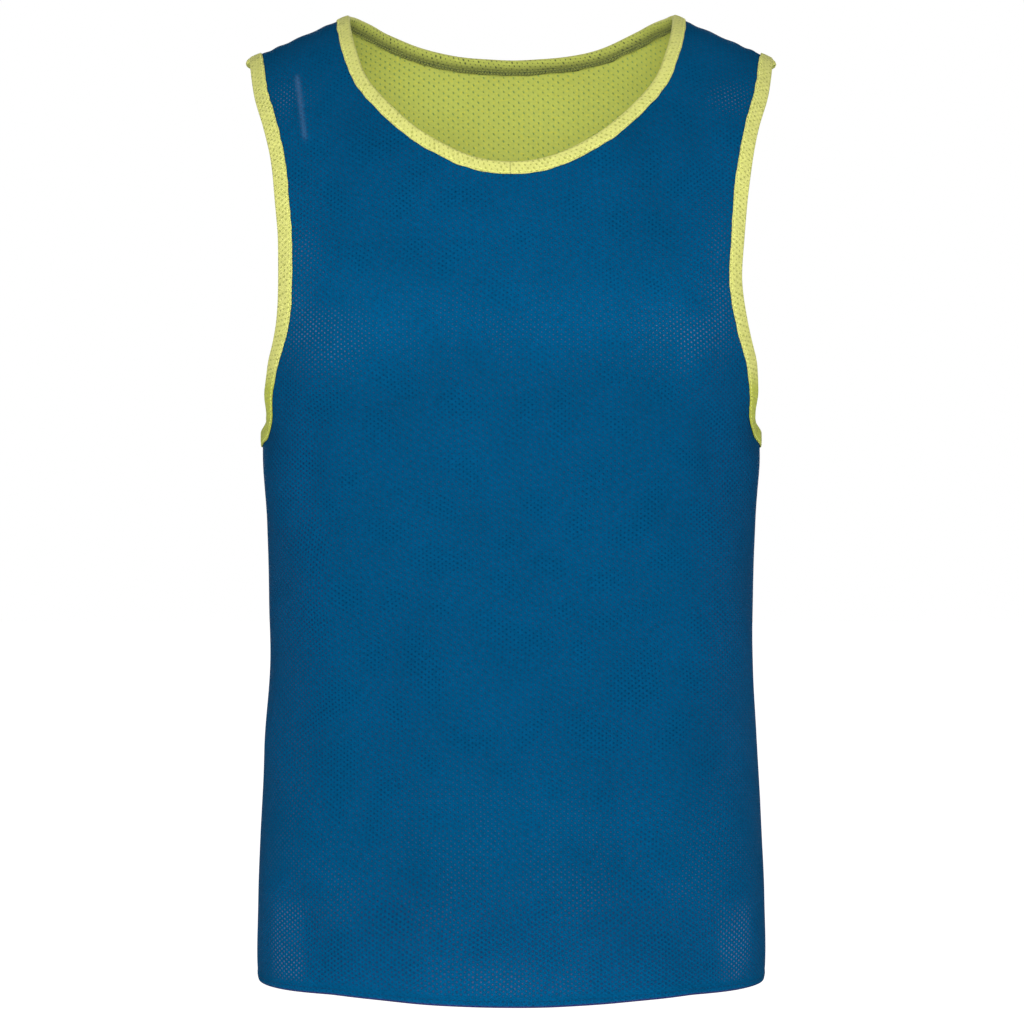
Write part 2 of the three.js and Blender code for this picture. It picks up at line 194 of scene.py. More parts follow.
def alongLine(fold, x, z):
    # a soft ridge's height at a place: full on its line, fading to the sides and past the ends
    (x1, z1), (x2, z2) = fold["from"], fold["to"]
    dx, dz = x2 - x1, z2 - z1
    k = np.clip(((x - x1) * dx + (z - z1) * dz) / (dx * dx + dz * dz), 0, 1)
    away = np.hypot(x - x1 - k * dx, z - z1 - k * dz) / fold["wide"]
    return fold["high"] * np.exp(-away * away)


def foldHeight(side, p, lift):
    # how far the folded cloth stands out of the plain form at points p
    x, z = p[..., 0], p[..., 2]
    apart = np.hypot(x, foldEnds["middle"])
    depth = np.abs(p[..., 1])
    share = np.minimum(depth / foldEnds["seam"], 1) ** 2
    total = sum(alongLine(fold, apart, z) for fold in mainFolds[side])
    total = total + sum(alongLine(fold, x, z) for fold in smallFolds[side])
    size, way, phase = rippleWaves
    which = 0 if side == "front" else 1
    for k in range(len(size)):
        t = (x * math.cos(way[k]) + z * math.sin(way[k])) * 2 * math.pi / size[k]
        total = total + ripple["high"] * np.sin(t + phase[which][k])
    # fine level ripples above the hem, away from the middle
    r = hemRipple
    near, far = r["across"]
    band = np.clip(1 - (z - r["foot"]) / r["tall"], 0, 1) * np.clip((z - r["start"]) / r["rise"], 0, 1)
    beside = np.clip((np.abs(x) - near) / r["soft"], 0, 1) * np.clip((far - np.abs(x)) / r["soft"], 0, 1)
    wave = np.sin((z + r["lean"] * np.abs(x)) * 2 * math.pi / r["pitch"])
    total = total + r["high"] * band * beside * wave
    # the shoulder seam draws the cloth into small uneven puckers, and the side seam lies in a dent
    near = np.where(lift > pucker["above"], np.exp(-(depth / pucker["reach"]) ** 2), 0)
    wander = pucker["wander"] * np.sin(x * 2 * math.pi / pucker["wanderPitch"])
    puckers = pucker["high"] * near * (
        np.sin(x * 2 * math.pi / pucker["pitch"] + wander) - pucker["sunk"])
    dent = np.where(lift < 0, sideSeam["deep"] * np.exp(-(depth / sideSeam["reach"]) ** 2), 0)
    return total * share + puckers - dent


def place(side, turn, lift):
    # the point with the folds, and the way out of the cloth there
    turn, lift = np.broadcast_arrays(np.asarray(turn, float), np.asarray(lift, float))
    out = slopes(side, turn, lift)[2].copy()
    out[..., 1] = np.where(np.abs(turn) > seamTurn, 0, out[..., 1])
    out = unit(out)
    p = plainPoint(side, turn, lift)
    return p + out * foldHeight(side, p, lift)[..., None], out


print("form: ready")


# where each side of the cloth ends and how it is divided

cutEdges = {  # turn and lift of the cut edges' knots
    "neckFront": {
        "turn": [0, 5.5, 10.5, 18.1, 23.7, 27.9, 30.2, 31.3, 31.8, 31.9],
        "lift": [26.6, 27.3, 29.3, 34.7, 41.6, 49.5, 59.7, 69.0, 79.5, 90],
    },
    "neckBack": {
        "turn": [0, 6.7, 12.8, 18.7, 24.6, 27.6, 30.2, 31.9],
        "lift": [48.2, 49.7, 53.1, 58.6, 68.0, 75.2, 82.6, 90],
    },
    "armFront": {
        "turn": [90, 78, 71.4, 66.8, 64.9, 60.6, 54.8, 51.3, 49.8, 49.6, 50.3, 51.9, 54.9, 57.0, 57.9],
        "lift": [-15.7, -15.2, -13.9, -11.7, -9.0, -2.4, 4.8, 11.8, 19.2, 27.3, 36.8, 45.5, 56.8, 74.0, 90],
    },
    "armBack": {
        "turn": [90, 77, 69.8, 64.9, 60.7, 55.2, 53.1, 53.2, 54.8, 56.6, 57.3, 59.9, 57.9],
        "lift": [-51.627, -49.8, -44.6, -36.2, -23.9, -5.4, 12.2, 30.1, 49.6, 65.0, 77.0, 85.0, 90],
    },
}
hem = {"level": -709.5, "dip": 6.5, "reach": 130, "dipPower": 1.3, "band": 6.0, "rise": 0.5,
       "corner": 2.0}
division = {"across": 72, "body": 110, "middle": 44, "upper": 52, "strip": 4, "edgeLevels": 400}
rowShape = {"hang": 42, "hangPower": 3, "bend": 1.35}
stripReach = 12.5  # how far the strips' inner legs reach from the cut edge
farAboveHem = 1e3  # a height above the hem for all the cloth above its band


def splinePoints(knots, steps):
    # a centripetal Catmull-Rom line through the knots; it starts level, at a middle or a side seam
    k = np.array(knots, float)
    first, last = (2 * k[0][0] - k[1][0], k[1][1]), 2 * k[-1] - k[-2]
    k = np.vstack([first, k, last])
    found = []
    for t in np.linspace(0, len(knots) - 1, steps + 1):
        i = min(int(t), len(knots) - 2)
        w = t - i
        p = k[i:i + 4]
        gap = [max(float(((p[j + 1] - p[j]) ** 2).sum()) ** 0.25, 1e-4) for j in range(3)]
        if gap[1] < 1e-4:
            gap[1] = 1
        d1 = ((p[1] - p[0]) / gap[0] - (p[2] - p[0]) / (gap[0] + gap[1]) + (p[2] - p[1]) / gap[1]) * gap[1]
        d2 = ((p[2] - p[1]) / gap[1] - (p[3] - p[1]) / (gap[1] + gap[2]) + (p[3] - p[2]) / gap[2]) * gap[1]
        a = 2 * p[1] - 2 * p[2] + d1 + d2
        b = -3 * p[1] + 3 * p[2] - 2 * d1 - d2
        found.append(((a * w + b) * w + d1) * w + p[1])
    return np.array(found)


def evenly(line, points, pieces):
    # line's rows at equal distances along points, which are the same places in space
    far = np.concatenate([[0], np.cumsum(np.linalg.norm(np.diff(points, axis=0), axis=1))])
    want = np.linspace(0, far[-1], pieces + 1)
    return np.stack([np.interp(want, far, line[:, k]) for k in range(line.shape[1])], axis=1)


def cutEdge(side, opening, pieces):
    knots = cutEdges[opening + side.capitalize()]
    fine = splinePoints(list(zip(knots["turn"], knots["lift"])), division["edgeLevels"])
    fine[:, 1] = np.minimum(fine[:, 1], topLift)
    return evenly(fine, plainPoint(side, fine[:, 0], fine[:, 1]), pieces)


def movedEdge(side, line, distance, turning):
    # the same line moved over the cloth; turning is 1 to its left as seen from outside
    ends = np.vstack([line[:1], line, line[-1:]])
    at = plainPoint(side, ends[:, 0], ends[:, 1])
    run = at[2:] - at[:-2]
    here = line.copy()
    for _ in range(4):
        across, up, out = slopes(side, here[:, 0], here[:, 1])
        go = unit(np.cross(out, run)) * turning * distance / 4
        aa, ab, bb = [(u * v).sum(axis=-1) for u, v in ((across, across), (across, up), (up, up))]
        ga, gb = (go * across).sum(axis=-1), (go * up).sum(axis=-1)
        det = aa * bb - ab * ab
        here[:, 0] += (ga * bb - gb * ab) / det
        here[:, 1] = np.minimum(here[:, 1] + (gb * aa - ga * ab) / det, topLift)
    return here


def halfEdges(side, neckPieces, armPieces, reach):
    # the cut edges of half a side, and the same lines moved into the cloth
    way = sides[side]["way"]
    neck = cutEdge(side, "neck", neckPieces)
    arm = cutEdge(side, "arm", armPieces)
    neckIn = movedEdge(side, neck, reach, way)
    armIn = movedEdge(side, arm, reach, -way)
    neck[0, 0] = neckIn[0, 0] = 0
    arm[0, 0] = armIn[0, 0] = 90
    for line in (neck, neckIn, arm, armIn):
        line[-1, 1] = topLift
    return {"neck": neck, "neckIn": neckIn, "arm": arm, "armIn": armIn}


def hemLift(side, turn):
    # the hem dips at the middle of each side and rounds up at the side seams
    wide = float(formWidth("half", -hem["level"]))
    x = wide * rounded(turn * rad, squareness)[0]
    k = np.clip(1 - (x / hem["reach"]) ** 2, 0, None)
    r = hem["corner"]
    into = np.clip(x - (wide - r), 0, r)
    rise = r - np.sqrt(r * r - into * into)
    return (hem["level"] - hem["dip"] * k ** hem["dipPower"] + rise - sides[side]["chest"]) \
        / sides[side]["perDegree"]


def mixRows(a, b, share):
    # rows from a to b; the ends are exactly a and b
    rows = a[None] + (b - a)[None] * share[:, None, None]
    rows[0], rows[-1] = a, b
    return rows


def patch(bottom, top, left, right):
    # a grid of places between four lines that meet at their ends
    t = np.linspace(0, 1, len(left))[:, None, None]
    s = np.linspace(0, 1, len(bottom))[None, :, None]
    corners = (1 - s) * ((1 - t) * bottom[0] + t * top[0]) + s * ((1 - t) * bottom[-1] + t * top[-1])
    grid = (1 - t) * bottom[None] + t * top[None] + (1 - s) * left[:, None] + s * right[:, None] - corners
    grid[0], grid[-1], grid[:, 0], grid[:, -1] = bottom, top, left, right
    return grid


def halfGrids(side, heights):
    # grids of (turn, lift) for half a side, each with its rows' heights above the hem
    n, chest = division, sides[side]
    edges = halfEdges(side, n["upper"], n["middle"] + n["upper"], stripReach)
    s = np.linspace(0, 1, n["across"] + 1)
    base = hemLift(side, 90 * s)
    bands = np.stack([np.stack([90 * s, base + h / chest["perDegree"]], axis=1) for h in heights])
    under, start = edges["armIn"][0], edges["neckIn"][0]
    low = under[1] - rowShape["hang"] / chest["perDegree"]
    chestRow = np.stack([90 * s, low + (under[1] - low) * s ** rowShape["hangPower"]], axis=1)
    chestRow[-1] = under
    corner = edges["armIn"][n["middle"]]
    bent = 1 - (1 - s) ** rowShape["bend"]
    collarRow = np.stack([corner[0] * s, start[1] + (corner[1] - start[1]) * bent], axis=1)
    collarRow[0], collarRow[-1] = start, corner
    neckEnd, armEnd = edges["neckIn"][-1], edges["armIn"][-1]
    seamRow = np.stack([neckEnd[0] + (armEnd[0] - neckEnd[0]) * s, np.full_like(s, topLift)], axis=1)
    seamRow[-1] = armEnd
    up = np.linspace(0, 1, n["middle"] + 1)[:, None]
    middle = chestRow[0] + (start - chestRow[0]) * up
    middle[-1] = start
    strip = np.linspace(0, 1, n["strip"] + 1)
    plain = [
        mixRows(bands[-1], chestRow, np.linspace(0, 1, n["body"] + 1)),
        patch(chestRow, collarRow, middle, edges["armIn"][:n["middle"] + 1]),
        patch(collarRow, seamRow, edges["neckIn"], edges["armIn"][n["middle"]:]),
        mixRows(edges["neckIn"], edges["neck"], strip),
        mixRows(edges["armIn"], edges["arm"], strip),
    ]
    levels = [np.repeat(np.array(heights, float)[:, None], len(s), axis=1)]
    levels += [np.full(grid.shape[:2], farAboveHem) for grid in plain]
    return [bands] + plain, levels


def clothScale(side):
    # distances over the cloth, across from the middle and up from the hem, as tables to look up
    turns = np.linspace(0, 90, 91)
    lifts = np.linspace(float(hemLift(side, np.array(0.0))) - 2, topLift, 240)
    grid = plainPoint(side, turns[None, :], lifts[:, None])
    across = np.cumsum(np.linalg.norm(np.diff(grid, axis=1, prepend=grid[:, :1]), axis=-1), axis=1)
    up = np.cumsum(np.linalg.norm(np.diff(grid, axis=0, prepend=grid[:1]), axis=-1), axis=0)
    return turns, lifts, across, up


def lookUp(table, turn, lift):
    turns, lifts, across, up = table
    i = (lift - lifts[0]) / (lifts[1] - lifts[0])
    j = np.abs(turn) / (turns[1] - turns[0])
    i0 = np.clip(i.astype(int), 0, len(lifts) - 2)
    j0 = np.clip(j.astype(int), 0, len(turns) - 2)
    a, b = np.clip(i - i0, 0, 1), np.clip(j - j0, 0, 1)
    both = []
    for v in (across, up):
        both.append((1 - a) * ((1 - b) * v[i0, j0] + b * v[i0, j0 + 1])
                    + a * ((1 - b) * v[i0 + 1, j0] + b * v[i0 + 1, j0 + 1]))
    return both[0] * np.sign(turn), both[1]


# meshes

def makePiece(name, points, faces, cloth=None, marks=None):
    # a mesh object from points in millimetres; cloth is each point's place on the flat cloth
    mesh = bpy.data.meshes.new(name)
    mesh.from_pydata((np.asarray(points) * mm).tolist(), [], faces)
    mesh.shade_smooth()
    if cloth is not None:
        loops = np.empty(len(mesh.loops), int)
        mesh.loops.foreach_get("vertex_index", loops)
        layer = mesh.uv_layers.new(name="Cloth")
        layer.uv.foreach_set("vector", (np.asarray(cloth)[loops] * mm).astype(np.float32).ravel())
    for key, values in (marks or {}).items():
        mesh.attributes.new(key, "FLOAT", "POINT").data.foreach_set("value", values.astype(np.float32))
    piece = bpy.data.objects.new(name, mesh)
    scene.collection.objects.link(piece)
    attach(piece, "root")
    return piece


def gridFaces(ids):
    # four-sided faces between the points of a grid
    a, b, c, d = ids[:-1, :-1], ids[:-1, 1:], ids[1:, 1:], ids[1:, :-1]
    return np.stack([a, b, c, d], axis=-1).reshape(-1, 4)


# Lists of places on the cloth: the middle of each, its half width and height, its strength, and how
# sharply it ends. First where light comes through the blue holes.
glimmer = [
    {"x": -161, "z": -677, "wide": 12, "tall": 29, "high": 0.24, "sharp": 3},
    {"x": 161, "z": -676, "wide": 12, "tall": 30, "high": 0.24, "sharp": 3},
    {"x": -131, "z": -241, "wide": 25, "tall": 19, "high": 0.28, "sharp": 1},
    {"x": 122, "z": -241, "wide": 26, "tall": 18, "high": 0.27, "sharp": 1},
    {"x": 0, "z": -238, "wide": 120, "tall": 26, "high": 0.06, "sharp": 1},
    {"x": 0, "z": -600, "wide": 110, "tall": 50, "high": 0.06, "sharp": 1},
    {"x": -172, "z": -500, "wide": 34, "tall": 170, "high": 0.05, "sharp": 2},
    {"x": 172, "z": -500, "wide": 34, "tall": 170, "high": 0.05, "sharp": 2},
    {"x": -161, "z": -62, "wide": 15, "tall": 9, "high": 0.3, "sharp": 1},
    {"x": -168, "z": -76, "wide": 8, "tall": 9, "high": 0.1, "sharp": 1},
    {"x": 160, "z": -63, "wide": 15, "tall": 9, "high": 0.3, "sharp": 1},
    {"x": -150, "z": -200, "wide": 12, "tall": 40, "high": 0.2, "sharp": 1},
    {"x": 150, "z": -200, "wide": 12, "tall": 40, "high": 0.2, "sharp": 1},
    {"x": 0, "z": -698, "wide": 62, "tall": 16, "high": 0.13, "sharp": 1},
    {"x": -50, "z": -650, "wide": 26, "tall": 30, "high": 0.06, "sharp": 1},
    {"x": 54, "z": -640, "wide": 26, "tall": 34, "high": 0.06, "sharp": 1},
    {"x": -126, "z": -640, "wide": 20, "tall": 30, "high": 0.07, "sharp": 1},
    {"x": 128, "z": -632, "wide": 20, "tall": 34, "high": 0.07, "sharp": 1},
]
# painted light and shade on the blue: paler where the strength is above 0, darker where it is below 0
paintedShading = [
    {"x": 0, "z": -224, "wide": 210, "tall": 38, "high": 0.85, "sharp": 1},
    {"x": 0, "z": -262, "wide": 80, "tall": 30, "high": -0.3, "sharp": 1},
    {"x": -86, "z": -100, "wide": 18, "tall": 26, "high": -0.4, "sharp": 1},
    {"x": 86, "z": -100, "wide": 18, "tall": 26, "high": -0.4, "sharp": 1},
    {"x": -134, "z": -236, "wide": 34, "tall": 30, "high": 0.15, "sharp": 1},
    {"x": 122, "z": -238, "wide": 34, "tall": 30, "high": 0.15, "sharp": 1},
    {"x": 0, "z": -120, "wide": 80, "tall": 46, "high": 0.35, "sharp": 1},
    {"x": 0, "z": -585, "wide": 110, "tall": 24, "high": 0.3, "sharp": 1},
    {"x": 0, "z": -708, "wide": 110, "tall": 26, "high": 0.8, "sharp": 1},
    {"x": -84, "z": -560, "wide": 26, "tall": 90, "high": -0.3, "sharp": 1},
    {"x": 84, "z": -560, "wide": 26, "tall": 90, "high": -0.25, "sharp": 1},
    {"x": -164, "z": -676, "wide": 26, "tall": 44, "high": 0.75, "sharp": 1},
    {"x": 164, "z": -676, "wide": 26, "tall": 44, "high": 0.75, "sharp": 1},
    {"x": -176, "z": -540, "wide": 22, "tall": 110, "high": 0.35, "sharp": 1},
    {"x": 176, "z": -540, "wide": 22, "tall": 110, "high": 0.5, "sharp": 1},
    {"x": -156, "z": -160, "wide": 26, "tall": 70, "high": 0.5, "sharp": 1},
    {"x": 156, "z": -160, "wide": 26, "tall": 70, "high": 0.5, "sharp": 1},
    {"x": -140, "z": -22, "wide": 40, "tall": 30, "high": 0.35, "sharp": 1},
    {"x": 140, "z": -22, "wide": 40, "tall": 30, "high": 0.35, "sharp": 1},
]
# where the net lies open, so that its holes look larger and deeper
opened = [
    {"x": 0, "z": -680, "wide": 400, "tall": 52, "high": 0.75, "sharp": 2},
    {"x": -174, "z": -420, "wide": 44, "tall": 190, "high": 1.0, "sharp": 2},
    {"x": 174, "z": -420, "wide": 44, "tall": 190, "high": 1.0, "sharp": 2},
    {"x": -158, "z": -160, "wide": 32, "tall": 80, "high": 0.5, "sharp": 1},
    {"x": 158, "z": -160, "wide": 32, "tall": 80, "high": 0.5, "sharp": 1},
    {"x": -84, "z": -560, "wide": 26, "tall": 90, "high": 0.3, "sharp": 1},
    {"x": 84, "z": -560, "wide": 26, "tall": 90, "high": 0.3, "sharp": 1},
]
# a pressed crease down the strap at the wearer's right, with a painted highlight along it
creaseHighlightLines = [
    {"from": (-156, -48), "to": (-152.4, -70), "wide": 1.9, "high": 0.25},
    {"from": (-152, -74), "to": (-149, -94), "wide": 1.7, "high": 0.23},
]


def spotsAt(spots, p):
    # the sum of soft-edged places; a sharper one is squarer
    total = np.zeros(len(p))
    for s in spots:
        across = np.abs((p[:, 0] - s["x"]) / s["wide"]) ** (2 * s["sharp"])
        up = np.abs((p[:, 2] - s["z"]) / s["tall"]) ** (2 * s["sharp"])
        total += s["high"] * np.exp(-across - up)
    return total


# how high above the lower edge the cloth is double, and how high the painted shade along its turned lower
# edge reaches
hemMarks = {"band": {"top": 9.5, "soft": 2.5}, "lowEdgeShade": {"top": 1.6, "soft": 0.8}}


def makePanel(name, side, heights, farAt, nearAt):
    # one layer of one side: a closed wall between two distances from the blue outside face
    grids, levels = halfGrids(side, heights)
    turn, lift, level, ids = [], [], [], []
    start = 0
    for mirror in (1, -1):
        for grid, height in zip(grids, levels):
            ids.append(start + np.arange(height.size).reshape(height.shape))
            start += height.size
            turn.append(mirror * grid[..., 0].ravel())
            lift.append(grid[..., 1].ravel())
            level.append(height.ravel())
    turn, lift, level = (np.concatenate(v) for v in (turn, lift, level))
    turn = np.where(np.abs(turn) < 1e-9, 0.0, turn)
    keys = np.round(np.stack([turn, lift], axis=1), 6) + 0.0
    _, first, same = np.unique(keys, axis=0, return_index=True, return_inverse=True)
    same = same.ravel()
    faces = np.concatenate([gridFaces(same[i]) for i in ids])
    turn, lift, level = turn[first], lift[first], level[first]
    points, out = place(side, turn, lift)
    flat = np.stack(lookUp(clothScale(side), turn, lift), axis=1)
    far = points + out * farAt(level)[:, None]
    near = points + out * nearAt(level)[:, None]
    a, b, c, d = (points[faces[:, k]] for k in range(4))
    facing = np.cross(c - a, d - b)
    inward = (facing * out[faces[:, 0]]).sum(axis=1) < 0
    faces[inward] = faces[inward][:, ::-1]
    whole = [list(dict.fromkeys(face)) for face in faces.tolist()]  # no corner twice in a face
    whole = [face for face in whole if len(face) > 2]
    count = len(points)
    used = dict.fromkeys((i, j) for face in whole for i, j in zip(face, face[1:] + face[:1]))
    rim = [(i, j) for i, j in used if (j, i) not in used]
    allFaces = whole + [[i + count for i in reversed(face)] for face in whole]
    allFaces += [[j, i, i + count, j + count] for i, j in rim]
    marks = {key: np.clip((m["top"] - level) / m["soft"], 0, 1) for key, m in hemMarks.items()}
    marks["glimmer"] = np.clip(spotsAt(glimmer, points), 0, 1)
    marks["opened"] = np.clip(spotsAt(opened, points), 0, 1)
    # painted light and shade on the blue
    marks["paintedShading"] = spotsAt(paintedShading, points)
    # a painted highlight along the strap's crease, on the front only
    marks["creaseHighlight"] = np.zeros(len(points))
    if side == "front":
        marks["creaseHighlight"] = sum(alongLine(line, points[:, 0], points[:, 2]) for line in creaseHighlightLines)
    piece = makePiece(name, np.vstack([far, near]), allFaces, np.vstack([flat, flat]),
                      {key: np.tile(values, 2) for key, values in marks.items()})
    area = np.linalg.norm(facing, axis=1).sum() / 2 * mm * mm
    print(name, "faces", len(allFaces), "area m2", round(float(area), 4), "rim", len(rim))
    return piece


# the two layers of each side

layers = {"wall": 1.0, "gap": 0.3, "innerStart": 2.0,
          "bandLevels": [0, 0.25, 0.6, 1.1, 1.9, 3.0, 4.0, 4.5, 5.0, 5.5, 6.2, 7.2, 9.0]}
# The hem band's two faces: distance out at each height above the lower edge. The outer one has the
# stitch dent, and at the inner one the lowest edge turns in under the lime layer.
bandFace = {"height": [0, 0.25, 0.6, 1.1, 1.9, 3.0, 4.0, 4.5, 5.0, 5.5, 6.2, 7.2],
            "out": [-0.9, -0.35, 0.15, 0.45, 0.55, 0.6, 0.5, 0.2, 0.45, 0.4, 0.05, 0]}
bandBack = {"height": [0, 0.6, 1.1, 1.9], "out": [-1.9, -2.2, -2.0, -1.0]}
innerFace = -layers["wall"] - layers["gap"]


def outerFar(level):
    return np.interp(level, bandFace["height"], bandFace["out"])


def outerNear(level):
    return np.interp(level, bandBack["height"], bandBack["out"])


def innerFar(level):
    return np.full_like(level, innerFace)


def innerNear(level):
    return np.full_like(level, innerFace - layers["wall"])


outerLevels = layers["bandLevels"]
innerLevels = [layers["innerStart"]] + [h for h in outerLevels if h > layers["innerStart"]]
panels = {}
for side in ("front", "back"):
    outer, inner = "outer" + side.capitalize(), "inner" + side.capitalize()
    panels[outer] = makePanel(outer, side, outerLevels, outerFar, outerNear)
    panels[inner] = makePanel(inner, side, innerLevels, innerFar, innerNear)


# the folded strips

strips = {
    "neck": {"outside": 8.4, "inside": 10.4, "front": 190, "back": 130},
    "arm": {"outside": 10.9, "inside": 12.5, "front": 265, "back": 250},
    "stitchIn": 1.4, "stitchPitch": 2.9, "puff": 0.1, "puffReach": 2.4,
    "wobble": 0.22, "innerWobble": 0.352, "wobbleWaves": 9, "lump": 0.12, "lumpWaves": 7,
    "waveTurns": (8, 70),
    # the armhole strips get a painted shade below the underarm level
    "paintedShadeBelow": -261, "paintedShadeOver": 14, "narrower": 0.24, "narrowReach": 20,
    "wider": {"at": -218, "reach": 42, "right": 0.25, "left": 0.12},
}


def quarter(side, opening, mirror, rising, pieces):
    # places round a quarter of an opening: point and way out at the rim, then at the inner leg's end
    edges = halfEdges(side, pieces, pieces, stripReach)
    row = []
    for edge in (edges[opening], edges[opening + "In"]):
        row += place(side, mirror * edge[:, 0], edge[:, 1])
    row = np.concatenate(row, axis=1)
    return row if rising else row[::-1]


def openingRing(opening, mirror):
    # the places all round an opening; mirror is -1 for the armhole at the wearer's right
    n = strips[opening]
    if opening == "neck":
        return np.concatenate([
            quarter("front", "neck", 1, True, n["front"])[:-1],
            quarter("back", "neck", 1, False, n["back"])[:-1],
            quarter("back", "neck", -1, True, n["back"])[:-1],
            quarter("front", "neck", -1, False, n["front"])[:-1]])
    return np.concatenate([
        quarter("front", "arm", mirror, True, n["front"])[:-1],
        quarter("back", "arm", mirror, False, n["back"])[:-1]])


def stripPoint(ring, along, off):
    # points of the strip: along is the distance from the cut edge into the cloth, below 0 beyond it;
    # off is the distance out from the blue outside face. Both have one column for each point wanted.
    rim, rimOut, end, endOut = (ring[:, None, k:k + 3] for k in (0, 3, 6, 9))
    along, off = (np.broadcast_to(v, (len(ring),) + np.shape(v)[-1:])[..., None] for v in (along, off))
    share = np.clip(along, 0, None) / stripReach
    inside = (rim + rimOut * off) * (1 - share) + (end + endOut * off) * share
    return inside - unit(rim - end) * np.minimum(along, 0)


def ringDistance(ring):
    step = np.linalg.norm(np.roll(ring[:, :3], -1, axis=0) - ring[:, :3], axis=1)
    return np.concatenate([[0], np.cumsum(step)])


def stripSection(outside, inside):
    # the strip's outline across as pairs of along and off, from the outer leg's end over the fold to
    # the inner leg's end, then back beside the cloth
    seam = outside - strips["stitchIn"]
    over = [(outside, 0.32), (outside + 0.15, 0.6), (outside - 0.05, 1.05), (outside - 0.5, 1.3),
            (seam + 0.4, 1.25), (seam, 0.98), (seam - 0.4, 1.25),
            (seam - 1.2, 1.42), (outside * 0.5, 1.5), (outside * 0.25, 1.46),
            (0.9, 1.38), (-0.1, 1.15), (-0.85, 0.55), (-1.25, -0.35), (-1.35, -1.2), (-1.25, -2.05),
            (-0.85, -2.9), (-0.1, -3.45), (0.9, -3.7), (seam * 0.4, -3.85), (seam * 0.7, -3.8),
            (seam - 0.4, -3.55), (seam, -3.3), (seam + 0.4, -3.5), (seam * 0.5 + inside * 0.5, -3.6),
            (inside - 0.3, -3.55), (inside + 0.1, -3.25)]
    back = [(inside, -2.65), (inside * 0.5, -2.6), (0.4, -2.6), (-0.25, -2.2), (-0.3, -0.2),
            (0.4, 0.3), (outside * 0.5, 0.3)]
    return np.array(over), np.array(back)


def legScale(opening, ring):
    # how much of its full width the outer leg has at each point of the ring
    if opening == "neck":
        return np.ones(len(ring))
    near = np.exp(-(ring[:, 1] / strips["narrowReach"]) ** 2) * (ring[:, 2] > -100)
    wider = strips["wider"]
    chest = np.exp(-((ring[:, 2] - wider["at"]) / wider["reach"]) ** 2) * (ring[:, 1] < 0)
    more = np.where(ring[:, 0] < 0, wider["right"], wider["left"])
    return 1 - strips["narrower"] * near + more * chest


def ringWaves(count, far, amount, seed):
    # a fixed sum of waves that closes on itself round the ring
    rng = np.random.default_rng(seed)
    total = np.zeros_like(far)
    for k in range(count):
        turns = rng.integers(*strips["waveTurns"])
        total += np.sin(far / far[-1] * 2 * math.pi * turns + rng.uniform(0, 2 * math.pi))
    return (total * amount / math.sqrt(count))[:-1]


def makeStrip(name, opening, ring, seed):
    outside, inside = strips[opening]["outside"], strips[opening]["inside"]
    over, back = stripSection(outside, inside)
    section = np.vstack([over, back])
    far = ringDistance(ring)
    along = np.repeat(section[None, :, 0], len(ring), axis=0)
    off = np.repeat(section[None, :, 1], len(ring), axis=0)
    # how far each point of the outline follows the waves: most at the two legs' ends
    legs = np.clip(section[:, 0] / outside, 0, 1)
    outer = (section[:, 1] > -0.3) * legs ** 3
    inner = (section[:, 1] < -2) * np.clip(section[:, 0] / inside, 0, 1) ** 3
    outerLeg = (section[:, 1] > 0.25) & (section[:, 0] > 0)
    along *= np.where(outerLeg, legScale(opening, ring)[:, None], 1)
    along += ringWaves(strips["wobbleWaves"], far, strips["wobble"], seed)[:, None] * outer
    along += ringWaves(strips["wobbleWaves"], far, strips["innerWobble"], seed + 1)[:, None] * inner
    reach = strips["puffReach"]
    # the cloth puffs up between the stitches
    face = (section[:, 1] > 0.9) * np.exp(-((section[:, 0] - outside + reach) / reach) ** 2)
    beat = np.cos(far[:-1] / strips["stitchPitch"] * 2 * math.pi)
    off += strips["puff"] * beat[:, None] * face
    off += ringWaves(strips["lumpWaves"], far, strips["lump"], seed + 2)[:, None] * (section[:, 1] > 1.2)
    points = stripPoint(ring, along, off)
    n, m = points.shape[:2]
    ids = np.arange(n * m).reshape(n, m)
    ids = np.vstack([ids, ids[:1]])
    ids = np.hstack([ids, ids[:, :1]])
    faces = gridFaces(ids)
    points = points.reshape(-1, 3)
    a, b, c, d = (points[faces[:, k]] for k in range(4))
    if (a * np.cross(c - a, d - b)).sum() < 0:
        faces = faces[:, ::-1]
    width = np.concatenate([[0], np.cumsum(np.linalg.norm(np.diff(section, axis=0), axis=1))])
    flat = np.stack(np.broadcast_arrays(far[:-1, None], width[None, :]), axis=-1).reshape(-1, 2)
    # the inner leg, darker partly from the blue behind it and partly as painted shade
    within = np.tile(np.clip((-1.0 - section[:, 1]) / 1.6, 0, 1), n)
    # painted shade on the armhole strips, below the underarm level
    under = np.clip((strips["paintedShadeBelow"] - points[:, 2]) / strips["paintedShadeOver"], 0, 1) * (opening == "arm")
    # painted shade on the inner leg, growing away from the fold
    deep = np.tile(np.clip((section[:, 0] - 1.5) / (outside - 2), 0, 1), n)
    piece = makePiece(name, points, faces.tolist(), flat, {"within": within, "deep": deep, "under": under})
    area = np.linalg.norm(np.cross(c - a, d - b), axis=1).sum() / 4 * mm * mm
    print(name, "length mm", round(far[-1]), "half the surface m2", round(float(area), 5))
    return piece


rings = {
    "neckBinding": ("neck", openingRing("neck", 1), 21),
    "armholeBindingLeft": ("arm", openingRing("arm", 1), 31),
    "armholeBindingRight": ("arm", openingRing("arm", -1), 41),
}
bindings = {}
for name, (opening, ring, seed) in rings.items():
    bindings[name] = makeStrip(name, opening, ring, seed)


# stitches

stitch = {"length": 2.25, "radius": 0.24, "sides": 6, "shares": [-0.5, -0.4, -0.15, 0.15, 0.4, 0.5],
          "thick": [0.3, 0.8, 1, 1, 0.8, 0.3], "sink": [0.35, 0.05, -0.1, -0.1, 0.05, 0.35],
          "outside": 1.12, "inside": -3.42}


